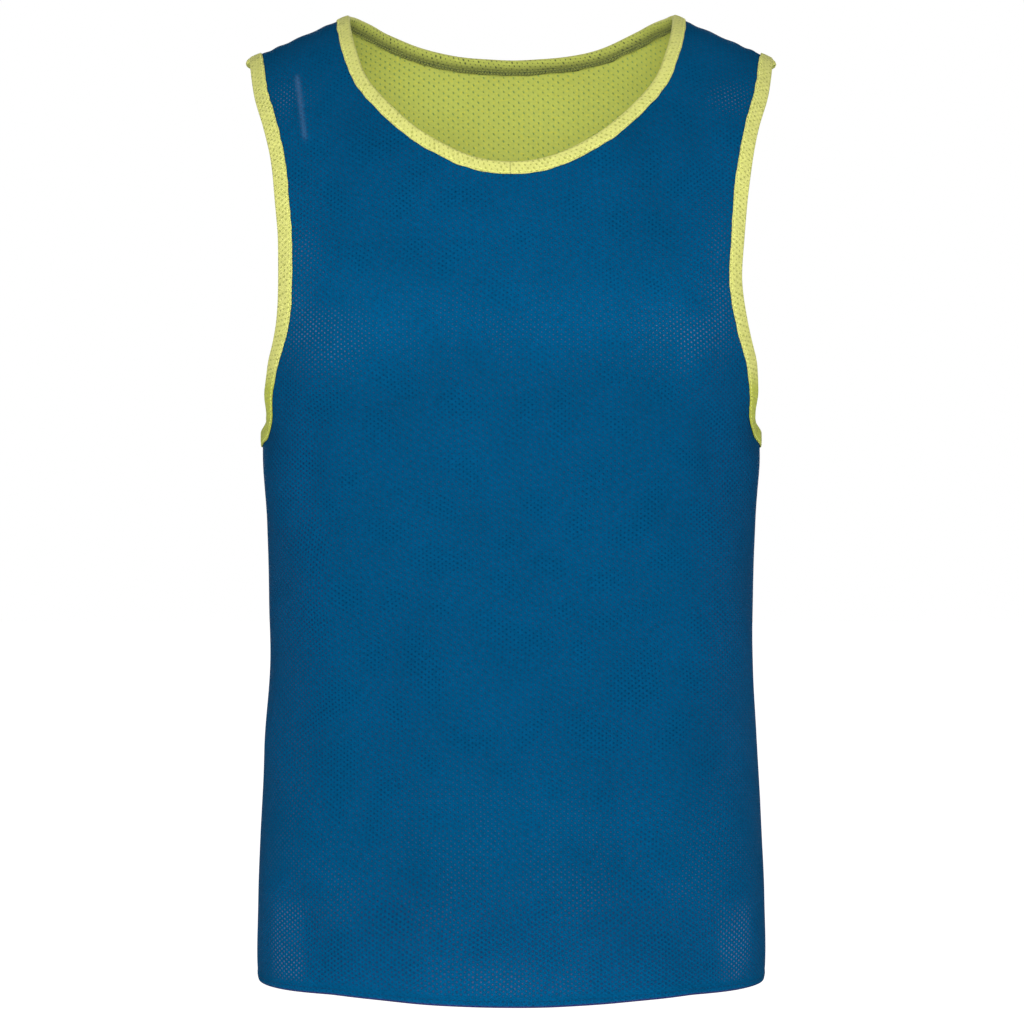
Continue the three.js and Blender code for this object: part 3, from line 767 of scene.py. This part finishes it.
def resampled(points, normals, pitch, closed):
    # the distances of the stitches' middles along a line, and a function for the places there
    if closed:
        points, normals = np.vstack([points, points[:1]]), np.vstack([normals, normals[:1]])
    far = np.concatenate([[0], np.cumsum(np.linalg.norm(np.diff(points, axis=0), axis=1))])
    count = max(int(round(far[-1] / pitch)), 2)
    centre = (np.arange(count) + 0.5) * far[-1] / count

    def at(distance):
        return [np.stack([np.interp(distance, far, v[:, k]) for k in range(3)], axis=-1)
                for v in (points, normals)]
    return centre, at


def tubeFaces(count, stations, around):
    # faces of many short closed tubes
    ids = np.arange(count * stations * around).reshape(count, stations, around)
    ids = np.concatenate([ids, ids[:, :, :1]], axis=2)
    a, b, c, d = ids[:, :-1, :-1], ids[:, :-1, 1:], ids[:, 1:, 1:], ids[:, 1:, :-1]
    faces = np.stack([a, b, c, d], axis=-1).reshape(-1, 4).tolist()
    faces += ids[:, 0, :-1][:, ::-1].tolist() + ids[:, -1, :-1].tolist()
    return faces


def tubes(centres, normals, radius, around):
    # centres and normals: tubes by stations by 3
    run = unit(np.gradient(centres, axis=1))
    side = unit(np.cross(run, normals))
    up = unit(np.cross(side, run))
    angle = np.arange(around) * 2 * math.pi / around
    ring = side[:, :, None] * np.cos(angle)[:, None] + up[:, :, None] * np.sin(angle)[:, None]
    return centres[:, :, None] + ring * np.asarray(radius)[..., None, None]


def stitchRow(lines):
    # lines: (points, normals, pitch, closed) for each row of stitches
    points, faces, start = [], [], 0
    for line in lines:
        centre, at = resampled(*line)
        where = centre[:, None] + np.array(stitch["shares"]) * stitch["length"]
        p, n = at(where)
        n = unit(n)
        p = p - n * np.array(stitch["sink"])[None, :, None]
        t = tubes(p, n, stitch["radius"] * np.array(stitch["thick"])[None, :], stitch["sides"])
        these = tubeFaces(len(centre), len(stitch["shares"]), stitch["sides"])
        faces += [[i + start for i in f] for f in these]
        points.append(t.reshape(-1, 3))
        start += points[-1].shape[0]
    return np.vstack(points), faces


threads = {}
for name, (opening, ring, seed) in rings.items():
    seam = strips[opening]["outside"] - strips["stitchIn"]
    for ending, off, way in (("", stitch["outside"], 1), ("Inside", stitch["inside"], -1)):
        across = seam * (legScale(opening, ring) if way > 0 else np.ones(len(ring)))
        points = stripPoint(ring, across[:, None], np.array([off]))[:, 0]
        normals = way * unit(ring[:, 3:6] + ring[:, 9:12])
        label = name.replace("Binding", "Stitches") + ending
        threads[label] = makePiece(label, *stitchRow([(points, normals, strips["stitchPitch"], True)]))
        print(label, "faces", len(threads[label].data.polygons))

# overlocked edge of each strip's inner leg: one thread that loops over the raw edge
overlock = {"pitch": 2.3, "reach": 2.3, "past": 0.35, "radius": 0.2, "stations": 8, "sides": 5,
            "off": -3.64, "waves": 9, "wander": 0.35, "cross": 0.25, "sway": 0.12}
for name, (opening, ring, seed) in rings.items():
    far = ringDistance(ring)
    loops = int(round(far[-1] / overlock["pitch"]))
    steps = loops * overlock["stations"]
    where = np.linspace(0, far[-1], steps, endpoint=False)
    closed = np.vstack([ring, ring[:1]])
    dense = np.stack([np.interp(where, far, closed[:, k]) for k in range(12)], axis=1)
    beat = np.arange(steps) / overlock["stations"] * 2 * math.pi
    deep = (1 - np.cos(beat)) / 2
    waves = ringWaves(overlock["waves"], far, overlock["wander"], seed + 3)
    waves = np.interp(where, far, np.append(waves, 0))
    along = strips[opening]["inside"] + overlock["past"] - deep * overlock["reach"] + waves
    off = overlock["off"] + overlock["sway"] * np.sin(beat)
    off = off + overlock["cross"] * np.cos(beat) ** 2 * (deep < 0.5)
    path = stripPoint(dense, along[:, None], off[:, None])[:, 0]
    normal = -unit(dense[:, 9:12])
    path = np.vstack([path[-1:], path, path[:1]])[None]
    normal = np.vstack([normal[-1:], normal, normal[:1]])[None]
    t = tubes(path, normal, np.full((1, steps + 2), overlock["radius"]), overlock["sides"])[0, 1:-1]
    ids = np.arange(t.shape[0] * t.shape[1]).reshape(t.shape[:2])
    ids = np.vstack([ids, ids[:1]])
    ids = np.hstack([ids, ids[:, :1]])
    label = name.replace("Binding", "Overlock")
    threads[label] = makePiece(label, t.reshape(-1, 3), gridFaces(ids).tolist())
    print(label, "faces", len(threads[label].data.polygons))

# the row of stitches that holds the hem, outside and inside
hemRow = {"height": 4.5, "pitch": 3.1, "outside": 0.32, "inside": -2.35, "turn": 89.6, "points": 900}
for label, off, way in (("hemStitches", hemRow["outside"], 1),
                        ("hemStitchesInside", hemRow["inside"], -1)):
    lines = []
    for side in ("front", "back"):
        turn = np.linspace(-hemRow["turn"], hemRow["turn"], hemRow["points"])
        lift = hemLift(side, turn) + hemRow["height"] / sides[side]["perDegree"]
        points, out = place(side, turn, lift)
        lines.append((points + out * off, way * out, hemRow["pitch"], False))
    threads[label] = makePiece(label, *stitchRow(lines))
print("stitches: pieces", len(threads))


# materials

def addNode(tree, kind, inputs=None, **settings):
    # a node whose inputs are linked where a socket is given, and set where a value is given
    node = tree.nodes.new("ShaderNode" + kind)
    for key, value in settings.items():
        setattr(node, key, value)
    for key, value in (inputs or {}).items():
        if isinstance(value, bpy.types.NodeSocket):
            tree.links.new(value, node.inputs[key])
        else:
            node.inputs[key].default_value = value
    return node


def sums(tree, operation, *values):
    return addNode(tree, "Math", dict(enumerate(values)), operation=operation).outputs[0]


def blend(tree, share, a, b):
    # the colour a share of the way from a to b
    return addNode(tree, "Mix", {0: share, 6: a, 7: b}, data_type="RGBA").outputs[2]


def colour(red, green, blue):
    # a colour as a screen shows it, in numbers up to 255
    parts = [v / 255 for v in (red, green, blue)]
    return [v / 12.92 if v <= 0.04045 else ((v + 0.055) / 1.055) ** 2.4 for v in parts] + [1]


def newGroup(name, inputs, outputs):
    group = bpy.data.node_groups.new(name, "ShaderNodeTree")
    for label, kind, value in inputs:
        socket = group.interface.new_socket(label, in_out="INPUT", socket_type="NodeSocket" + kind)
        if value is not None:
            socket.default_value = value
    for label in outputs:
        group.interface.new_socket(label, in_out="OUTPUT", socket_type="NodeSocketFloat")
    return group, group.nodes.new("NodeGroupInput").outputs, group.nodes.new("NodeGroupOutput").inputs


def makeMeshHoles():
    # staggered columns of small round or slanted holes; the vector is in metres, sizes in millimetres
    group, given, made = newGroup("meshHoles", [
        ("Vector", "Vector", None), ("Pitch Across", "Float", 2.75), ("Pitch Up", "Float", 2.9),
        ("Hole Across", "Float", 1.05), ("Hole Up", "Float", 1.05), ("Slant", "Float", 0.0),
        ("Softness", "Float", 0.25), ("Uneven", "Float", 0.2)], ["Hole", "Relief"])
    inMm = addNode(group, "VectorMath", {0: given["Vector"], 3: 1000.0}, operation="SCALE").outputs[0]
    apart = addNode(group, "SeparateXYZ", {0: inMm}).outputs
    across = sums(group, "DIVIDE", apart[0], given["Pitch Across"])
    column = sums(group, "FLOOR", across)
    stagger = sums(group, "MULTIPLY", sums(group, "FLOORED_MODULO", column, 2.0), 0.5)
    up = sums(group, "ADD", sums(group, "DIVIDE", apart[1], given["Pitch Up"]), stagger)
    row = sums(group, "FLOOR", up)
    inX = sums(group, "SUBTRACT", sums(group, "SUBTRACT", across, column), 0.5)
    inY = sums(group, "SUBTRACT", sums(group, "SUBTRACT", up, row), 0.5)
    inX = sums(group, "MULTIPLY", inX, given["Pitch Across"])
    inY = sums(group, "MULTIPLY", inY, given["Pitch Up"])
    inX = sums(group, "ADD", inX, sums(group, "MULTIPLY", inY, given["Slant"]))
    cellAt = addNode(group, "CombineXYZ", {0: column, 1: row}).outputs[0]
    cell = addNode(group, "TexWhiteNoise", {"Vector": cellAt}, noise_dimensions="2D").outputs["Value"]
    partX = sums(group, "DIVIDE", sums(group, "MULTIPLY", inX, 2.0), given["Hole Across"])
    partY = sums(group, "DIVIDE", sums(group, "MULTIPLY", inY, 2.0), given["Hole Up"])
    far = sums(group, "SQRT", sums(group, "ADD", sums(group, "MULTIPLY", partX, partX),
                                   sums(group, "MULTIPLY", partY, partY)))
    swell = sums(group, "MULTIPLY_ADD", sums(group, "SUBTRACT", cell, 0.5), given["Uneven"], 1.0)
    far = sums(group, "MULTIPLY", far, swell)
    outer = sums(group, "ADD", 1.0, given["Softness"])
    inner = sums(group, "SUBTRACT", 1.0, given["Softness"])
    hole = addNode(group, "MapRange", {"Value": far, "From Min": outer, "From Max": inner},
                   interpolation_type="SMOOTHSTEP").outputs[0]
    # the knit stands up a little in a ring round each hole
    ring = sums(group, "ABSOLUTE", sums(group, "SUBTRACT", far, 1.55))
    ring = addNode(group, "MapRange", {"Value": ring, "From Min": 0.5, "From Max": 0.0},
                   interpolation_type="SMOOTHSTEP").outputs[0]
    relief = sums(group, "MULTIPLY_ADD", ring, 0.25, sums(group, "SUBTRACT", 1.0, hole))
    group.links.new(hole, made["Hole"])
    group.links.new(relief, made["Relief"])
    return group


def makeKnitGrain():
    # the fine loops of the knit between the holes; the vector is in metres, the pitch in millimetres
    group, given, made = newGroup("knitGrain", [("Vector", "Vector", None), ("Pitch", "Float", 0.55)],
                                  ["Grain"])
    inMm = addNode(group, "VectorMath", {0: given["Vector"], 3: 1000.0 * 2 * math.pi},
                   operation="SCALE").outputs[0]
    apart = addNode(group, "SeparateXYZ", {0: inMm}).outputs
    x = sums(group, "DIVIDE", apart[0], given["Pitch"])
    y = sums(group, "DIVIDE", apart[1], given["Pitch"])
    # columns of loops that lean to and fro
    zig = sums(group, "MULTIPLY", sums(group, "SINE", y), 1.2)
    loops = sums(group, "MULTIPLY", sums(group, "SINE", sums(group, "ADD", x, zig)),
                 sums(group, "COSINE", sums(group, "MULTIPLY", y, 0.5)))
    grain = sums(group, "MULTIPLY_ADD", loops, 0.5, 0.5)
    group.links.new(grain, made["Grain"])
    return group


def makeClothTone():
    # slow and quick changes of tone over a cloth, about 1; the vector and sizes are in metres
    group, given, made = newGroup("clothTone", [
        ("Vector", "Vector", None), ("Patch", "Float", 0.09), ("Patch Amount", "Float", 0.05),
        ("Speckle", "Float", 0.004), ("Speckle Amount", "Float", 0.06)], ["Tone"])
    tones = []
    leaning = addNode(group, "VectorRotate", {"Vector": given["Vector"], "Angle": 0.6},
                      rotation_type="Z_AXIS").outputs[0]
    leaning = addNode(group, "VectorMath", {0: leaning, 1: (0.45, 1.0, 1.0)}, operation="MULTIPLY").outputs[0]
    for size, way in (("Patch", given["Vector"]), ("Speckle", leaning)):
        scale = sums(group, "DIVIDE", 1.0, given[size])
        noise = addNode(group, "TexNoise", {"Vector": way, "Scale": scale, "Detail": 2.0}).outputs[0]
        about = sums(group, "SUBTRACT", noise, 0.5)
        tones.append(sums(group, "MULTIPLY", about, given[size + " Amount"]))
    both = sums(group, "MULTIPLY", sums(group, "ADD", *tones), 2.0)
    group.links.new(sums(group, "ADD", both, 1.0), made["Tone"])
    return group


groups = {"meshHoles": makeMeshHoles(), "knitGrain": makeKnitGrain(), "clothTone": makeClothTone()}


def useGroup(tree, name, inputs):
    return addNode(tree, "Group", inputs, node_tree=groups[name]).outputs


def startMaterial(name, roughness, sheen, specular=0.25):
    material = bpy.data.materials.new(name)
    material.use_nodes = True
    tree = material.node_tree
    shader = tree.nodes["Principled BSDF"]
    shader.inputs["Roughness"].default_value = roughness
    shader.inputs["Sheen Weight"].default_value = sheen
    shader.inputs["Sheen Roughness"].default_value = 0.5
    shader.inputs["Specular IOR Level"].default_value = specular
    return material, tree, shader


def finishMaterial(tree, shader, base, tone, height, distance, strength=1.0):
    toned = addNode(tree, "HueSaturation", {"Color": base, "Value": tone}).outputs[0]
    tree.links.new(toned, shader.inputs["Base Color"])
    bump = addNode(tree, "Bump", {"Height": height, "Distance": distance, "Strength": strength}).outputs[0]
    tree.links.new(bump, shader.inputs["Normal"])


blueCloth = {
    "base": colour(0, 69, 108), "shade": colour(0, 65, 102), "holeDark": colour(6, 42, 82),
    "holeWarm": colour(38, 56, 96), "holeLight": colour(146, 142, 176), "lowEdgeShade": colour(44, 32, 84),
    "creaseHighlight": colour(84, 112, 150), "holeDeep": colour(12, 32, 74), "shadeScale": 26.0,
    "openWider": 0.5, "openPaler": 0.09, "openDeeper": 0.8, "paintedShadingAmount": 0.22, "holeShare": 0.85,
    "pitchAcross": 2.65, "pitchUp": 3.45, "hole": 1.0, "softness": 0.35, "uneven": 0.25,
    "underAcross": 2.84, "underUp": 3.7, "underHole": 1.9, "underSlant": 0.1, "underSoftness": 0.5,
    "underUneven": 0.2, "underTurn": 0.02, "drift": 0.009, "driftScale": 11.0, "pull": 0.014,
    "pullScale": 8.0, "bandHides": 0.75, "roughness": 0.8, "specular": 0.015, "loops": 0.6,
    "loopRelief": 0.15, "relief": 0.0004,
    "tone": {"Patch": 0.06, "Patch Amount": 0.1, "Speckle": 0.0022, "Speckle Amount": 0.26},
}
limeCloth = {
    "base": colour(187, 195, 94), "shade": colour(179, 188, 84), "fleck": colour(196, 197, 80),
    "hole": colour(112, 158, 98), "shadeScale": 40.0, "fleckScale": 420.0, "fleckFrom": 0.52,
    "fleckTo": 0.72, "holeShare": 0.8, "pitchAcross": 3.9, "pitchUp": 5.6, "holeAcross": 0.9,
    "holeUp": 1.5, "slant": 0.35, "softness": 0.4, "uneven": 0.4, "drift": 0.003, "driftScale": 20.0,
    "roughness": 0.8, "sheen": 0.03, "loops": 0.65, "loopRelief": 0.15, "relief": 0.0004,
    "tone": {"Patch": 0.05, "Patch Amount": 0.06, "Speckle": 0.002, "Speckle Amount": 0.1},
}
limeStrip = {
    "base": colour(202, 201, 121), "shade": colour(189, 192, 97), "hole": colour(158, 162, 78),
    # under: painted shade on the armhole strips below the underarm
    "under": colour(168, 176, 64), "inside": colour(174, 181, 84),
    # inside: darker partly from the blue behind it and partly as painted shade; the next colour is painted
    # shade further from the fold
    "insideDeep": colour(94, 102, 54), "insideHole": colour(52, 66, 46),
    "shadeScale": 260.0, "holeShare": 0.85, "pitchAcross": 2.0, "pitchUp": 5.2, "holeAcross": 0.8,
    "holeUp": 1.15, "slant": 0.3, "softness": 0.45, "uneven": 0.9, "lean": 0.07, "drift": 0.0012,
    "driftScale": 60.0, "roughness": 0.8, "sheen": 0.05, "loops": 0.65, "loopRelief": 0.2,
    "relief": 0.00035,
    "tone": {"Patch": 0.02, "Patch Amount": 0.06, "Speckle": 0.0016, "Speckle Amount": 0.2},
}


def drifted(tree, vector, scale, amount):
    # the vector moved about slowly, so that a pattern isn't ruled
    slow = addNode(tree, "TexNoise", {"Vector": vector, "Scale": scale, "Detail": 1.0}).outputs["Color"]
    part = addNode(tree, "VectorMath", {0: slow, 1: (0.5, 0.5, 0.5)}, operation="SUBTRACT").outputs[0]
    part = addNode(tree, "VectorMath", {0: part, 3: amount}, operation="SCALE").outputs[0]
    return addNode(tree, "VectorMath", {0: vector, 1: part}, operation="ADD").outputs[0]


def mark(tree, name):
    # one of the marks that the mesh carries at its points
    return addNode(tree, "Attribute", attribute_name=name).outputs["Fac"]


def shaded(tree, vector, cloth, detail):
    # the cloth's two base tones in soft patches
    patches = addNode(tree, "TexNoise", {"Vector": vector, "Scale": cloth["shadeScale"], "Detail": detail})
    return blend(tree, patches.outputs[0], cloth["base"], cloth["shade"])


def knitHeight(tree, vector, holes, cloth):
    # the relief of the holes with the knit's fine loops on it
    grain = useGroup(tree, "knitGrain", {"Vector": vector, "Pitch": cloth["loops"]})["Grain"]
    return sums(tree, "MULTIPLY_ADD", grain, cloth["loopRelief"], holes["Relief"])


def makeBlueMesh():
    c = blueCloth
    material, tree, shader = startMaterial("blueMesh", c["roughness"], 0.0, c["specular"])
    vector = addNode(tree, "UVMap", uv_map="Cloth").outputs[0]
    pulled = drifted(tree, vector, c["pullScale"], c["pull"])
    slack = mark(tree, "opened")
    size = sums(tree, "MULTIPLY_ADD", slack, c["openWider"], c["hole"])
    holes = useGroup(tree, "meshHoles", {
        "Vector": pulled, "Pitch Across": c["pitchAcross"], "Pitch Up": c["pitchUp"],
        "Hole Across": size, "Hole Up": size, "Softness": c["softness"], "Uneven": c["uneven"]})
    below = addNode(tree, "VectorRotate", {
        "Vector": drifted(tree, pulled, c["driftScale"], c["drift"]), "Angle": c["underTurn"]},
        rotation_type="Z_AXIS").outputs[0]
    under = useGroup(tree, "meshHoles", {
        "Vector": below, "Pitch Across": c["underAcross"], "Pitch Up": c["underUp"],
        "Hole Across": c["underHole"], "Hole Up": c["underHole"], "Slant": c["underSlant"],
        "Softness": c["underSoftness"], "Uneven": c["underUneven"]})
    base = shaded(tree, vector, c, 2.0)
    # the lime layer shows through a hole where it has no hole of its own
    hole = blend(tree, under["Hole"], c["holeWarm"], c["holeDark"])
    hole = blend(tree, sums(tree, "MULTIPLY", slack, c["openDeeper"]), hole, c["holeDeep"])
    glow = mark(tree, "glimmer")
    lit = sums(tree, "MULTIPLY", glow, sums(tree, "MULTIPLY_ADD", under["Hole"], -0.5, 1.0))
    hole = blend(tree, lit, hole, c["holeLight"])
    # the hem is folded double, which hides the holes there
    share = sums(tree, "MULTIPLY_ADD", mark(tree, "band"), -c["bandHides"], c["holeShare"])
    base = blend(tree, sums(tree, "MULTIPLY", holes["Hole"], share), base, hole)
    # a painted highlight along the pressed crease on the strap
    base = blend(tree, mark(tree, "creaseHighlight"), base, c["creaseHighlight"])
    # painted shade along the hem's turned lower edge
    base = blend(tree, mark(tree, "lowEdgeShade"), base, c["lowEdgeShade"])
    tone = useGroup(tree, "clothTone", {"Vector": vector, **c["tone"]})["Tone"]
    paler = sums(tree, "MULTIPLY_ADD", slack, c["openPaler"], 1.0)
    # painted light and shade: the listed places made paler or darker
    paler = sums(tree, "MULTIPLY_ADD", mark(tree, "paintedShading"), c["paintedShadingAmount"], paler)
    tone = sums(tree, "MULTIPLY", tone, paler)
    finishMaterial(tree, shader, base, tone, knitHeight(tree, vector, holes, c), c["relief"])
    return material


def makeLimeMesh():
    c = limeCloth
    material, tree, shader = startMaterial("limeMesh", c["roughness"], c["sheen"])
    vector = addNode(tree, "UVMap", uv_map="Cloth").outputs[0]
    holes = useGroup(tree, "meshHoles", {
        "Vector": drifted(tree, vector, c["driftScale"], c["drift"]), "Pitch Across": c["pitchAcross"],
        "Pitch Up": c["pitchUp"], "Hole Across": c["holeAcross"], "Hole Up": c["holeUp"],
        "Slant": c["slant"], "Softness": c["softness"], "Uneven": c["uneven"]})
    base = shaded(tree, vector, c, 3.0)
    flecks = addNode(tree, "TexNoise", {"Vector": vector, "Scale": c["fleckScale"], "Detail": 1.0}).outputs[0]
    flecks = addNode(tree, "MapRange", {
        "Value": flecks, "From Min": c["fleckFrom"], "From Max": c["fleckTo"]}).outputs[0]
    base = blend(tree, flecks, base, c["fleck"])
    base = blend(tree, sums(tree, "MULTIPLY", holes["Hole"], c["holeShare"]), base, c["hole"])
    tone = useGroup(tree, "clothTone", {"Vector": vector, **c["tone"]})["Tone"]
    finishMaterial(tree, shader, base, tone, knitHeight(tree, vector, holes, c), c["relief"])
    return material


def makeLimeStrip():
    c = limeStrip
    material, tree, shader = startMaterial("limeStrip", c["roughness"], c["sheen"])
    flat = addNode(tree, "UVMap", uv_map="Cloth").outputs[0]
    moved = drifted(tree, flat, c["driftScale"], c["drift"])
    vector = addNode(tree, "VectorRotate", {"Vector": moved, "Angle": c["lean"]},
                     rotation_type="Z_AXIS").outputs[0]
    holes = useGroup(tree, "meshHoles", {
        "Vector": vector, "Pitch Across": c["pitchAcross"], "Pitch Up": c["pitchUp"],
        "Hole Across": c["holeAcross"], "Hole Up": c["holeUp"], "Slant": c["slant"],
        "Softness": c["softness"], "Uneven": c["uneven"]})
    within = mark(tree, "within")
    # the inner leg: darker partly from the blue behind it and partly as painted shade, with more painted
    # shade further from the fold
    inside = blend(tree, mark(tree, "deep"), c["inside"], c["insideDeep"])
    # painted shade on the outer face of the armhole strips below the underarm
    outside = blend(tree, mark(tree, "under"), shaded(tree, vector, c, 3.0), c["under"])
    base = blend(tree, within, outside, inside)
    hole = blend(tree, within, c["hole"], c["insideHole"])
    base = blend(tree, sums(tree, "MULTIPLY", holes["Hole"], c["holeShare"]), base, hole)
    tone = useGroup(tree, "clothTone", {"Vector": vector, **c["tone"]})["Tone"]
    finishMaterial(tree, shader, base, tone, knitHeight(tree, vector, holes, c), c["relief"])
    return material


# the inside thread is darker than the lime thread, as painted shade on the inside
threadTones = {"limeThread": colour(222, 226, 130), "innerThreadShaded": colour(156, 163, 82),
               "blueThread": colour(8, 58, 98)}
threadLook = {
    "roughness": 0.7, "specular": 0.1, "twistScale": 2500.0, "relief": 0.0001,
    "tone": {"Patch": 0.01, "Patch Amount": 0.1, "Speckle": 0.0006, "Speckle Amount": 0.2},
}


def makeThread(name, base):
    c = threadLook
    material, tree, shader = startMaterial(name, c["roughness"], 0.0, c["specular"])
    vector = addNode(tree, "TexCoord").outputs["Object"]
    tone = useGroup(tree, "clothTone", {"Vector": vector, **c["tone"]})["Tone"]
    twist = addNode(tree, "TexNoise", {"Vector": vector, "Scale": c["twistScale"]}).outputs[0]
    finishMaterial(tree, shader, base, tone, twist, c["relief"])
    return material


blueMesh, limeMesh, stripMaterial = makeBlueMesh(), makeLimeMesh(), makeLimeStrip()
threadMaterials = {name: makeThread(name, base) for name, base in threadTones.items()}
for side in ("Front", "Back"):
    panels["outer" + side].data.materials.append(blueMesh)
    panels["inner" + side].data.materials.append(limeMesh)
for piece in bindings.values():
    piece.data.materials.append(stripMaterial)
for label, piece in threads.items():
    kind = "innerThreadShaded" if "Overlock" in label or "Inside" in label else "limeThread"
    piece.data.materials.append(threadMaterials["blueThread" if label == "hemStitches" else kind])
print("materials: ready")


# the CAD part and finish that each piece stands for; the CAD parts are hidden

standsFor = {
    "outerFront": ("outer_front", "blue_mesh"), "outerBack": ("outer_back", "blue_mesh"),
    "innerFront": ("inner_front", "lime_mesh"), "innerBack": ("inner_back", "lime_mesh"),
    "neckBinding": ("neck_binding", "lime_binding"),
    "armholeBindingLeft": ("armhole_binding_left", "lime_binding"),
    "armholeBindingRight": ("armhole_binding_right", "lime_binding"),
}
for name, (node, slot) in standsFor.items():
    piece = panels.get(name) or bindings[name]
    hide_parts(node)
print("declared: sheets", len(standsFor))


# floor, light and camera

floor = {
    "level": -1.40, "size": 60.0, "glow": 0.8, "base": colour(246, 246, 246), "roughness": 0.9,
    "specular": 0.1, "relief": 0.0005, "reliefShare": 0.2,
    "tone": {"Patch": 1.5, "Patch Amount": 0.01, "Speckle": 0.02, "Speckle Amount": 0.01},
}
mesh = bpy.data.meshes.new("floor")
half = floor["size"] / 2
mesh.from_pydata([(-half, -half, floor["level"]), (half, -half, floor["level"]),
                  (half, half, floor["level"]), (-half, half, floor["level"])], [], [(0, 1, 2, 3)])
ground = bpy.data.objects.new("floor", mesh)
scene.collection.objects.link(ground)
material, tree, shader = startMaterial("paleFloor", floor["roughness"], 0.0, floor["specular"])
spot = addNode(tree, "TexCoord").outputs["Object"]
tone = useGroup(tree, "clothTone", {"Vector": spot, **floor["tone"]})["Tone"]
finishMaterial(tree, shader, floor["base"], tone, tone, floor["relief"], floor["reliefShare"])
shader.inputs["Emission Color"].default_value = (1, 1, 1, 1)
lit = addNode(tree, "LightPath").outputs["Is Camera Ray"]
tree.links.new(sums(tree, "MULTIPLY", lit, floor["glow"]), shader.inputs["Emission Strength"])
ground.data.materials.append(material)

world = bpy.data.worlds.new("studio")
scene.world = world
world.use_nodes = True
tree = world.node_tree
background = tree.nodes["Background"]
seen = addNode(tree, "LightPath").outputs["Is Camera Ray"]
light = {"ambient": 0.32, "seen": 1.0}
tree.links.new(sums(tree, "MULTIPLY_ADD", seen, light["seen"] - light["ambient"], light["ambient"]),
               background.inputs["Strength"])
background.inputs["Color"].default_value = (1, 1, 1, 1)

lamps = {
    "frontSoft": {"at": (0.0, -3.4, 0.1), "to": (0, 0, -0.4), "size": (2.0, 2.0), "power": 103},
    "leftSoft": {"at": (-2.6, -2.0, 0.2), "to": (0, 0, -0.35), "size": (1.2, 2.0), "power": 18},
    "rightSoft": {"at": (2.6, -2.0, 0.2), "to": (0, 0, -0.35), "size": (1.2, 2.0), "power": 18},
    "backSoft": {"at": (0.0, 3.2, 0.4), "to": (0, 0, -0.35), "size": (2.4, 2.0), "power": 88},
}
for name, lamp in lamps.items():
    data = bpy.data.lights.new(name, "AREA")
    data.shape = "RECTANGLE"
    data.size, data.size_y = lamp["size"]
    data.energy = lamp["power"]
    thing = bpy.data.objects.new(name, data)
    scene.collection.objects.link(thing)
    at, to = np.array(lamp["at"]), np.array(lamp["to"])
    thing.location = at
    thing.rotation_euler = Vector(to - at).to_track_quat("-Z", "Y").to_euler()

view = {"at": (0.0006, -2.590, -0.3644), "metresAcross": 1024 * 0.745 * mm, "sensor": 36.0,
        "clipEnd": 100}
camera = bpy.data.cameras.new("camera")
camera.sensor_width = view["sensor"]
camera.lens = view["sensor"] * -view["at"][1] / view["metresAcross"]
camera.clip_end = view["clipEnd"]
eye = bpy.data.objects.new("camera", camera)
eye.location = view["at"]
eye.rotation_euler = (math.pi / 2, 0, 0)
scene.collection.objects.link(eye)
scene.camera = eye
print("studio: ready")
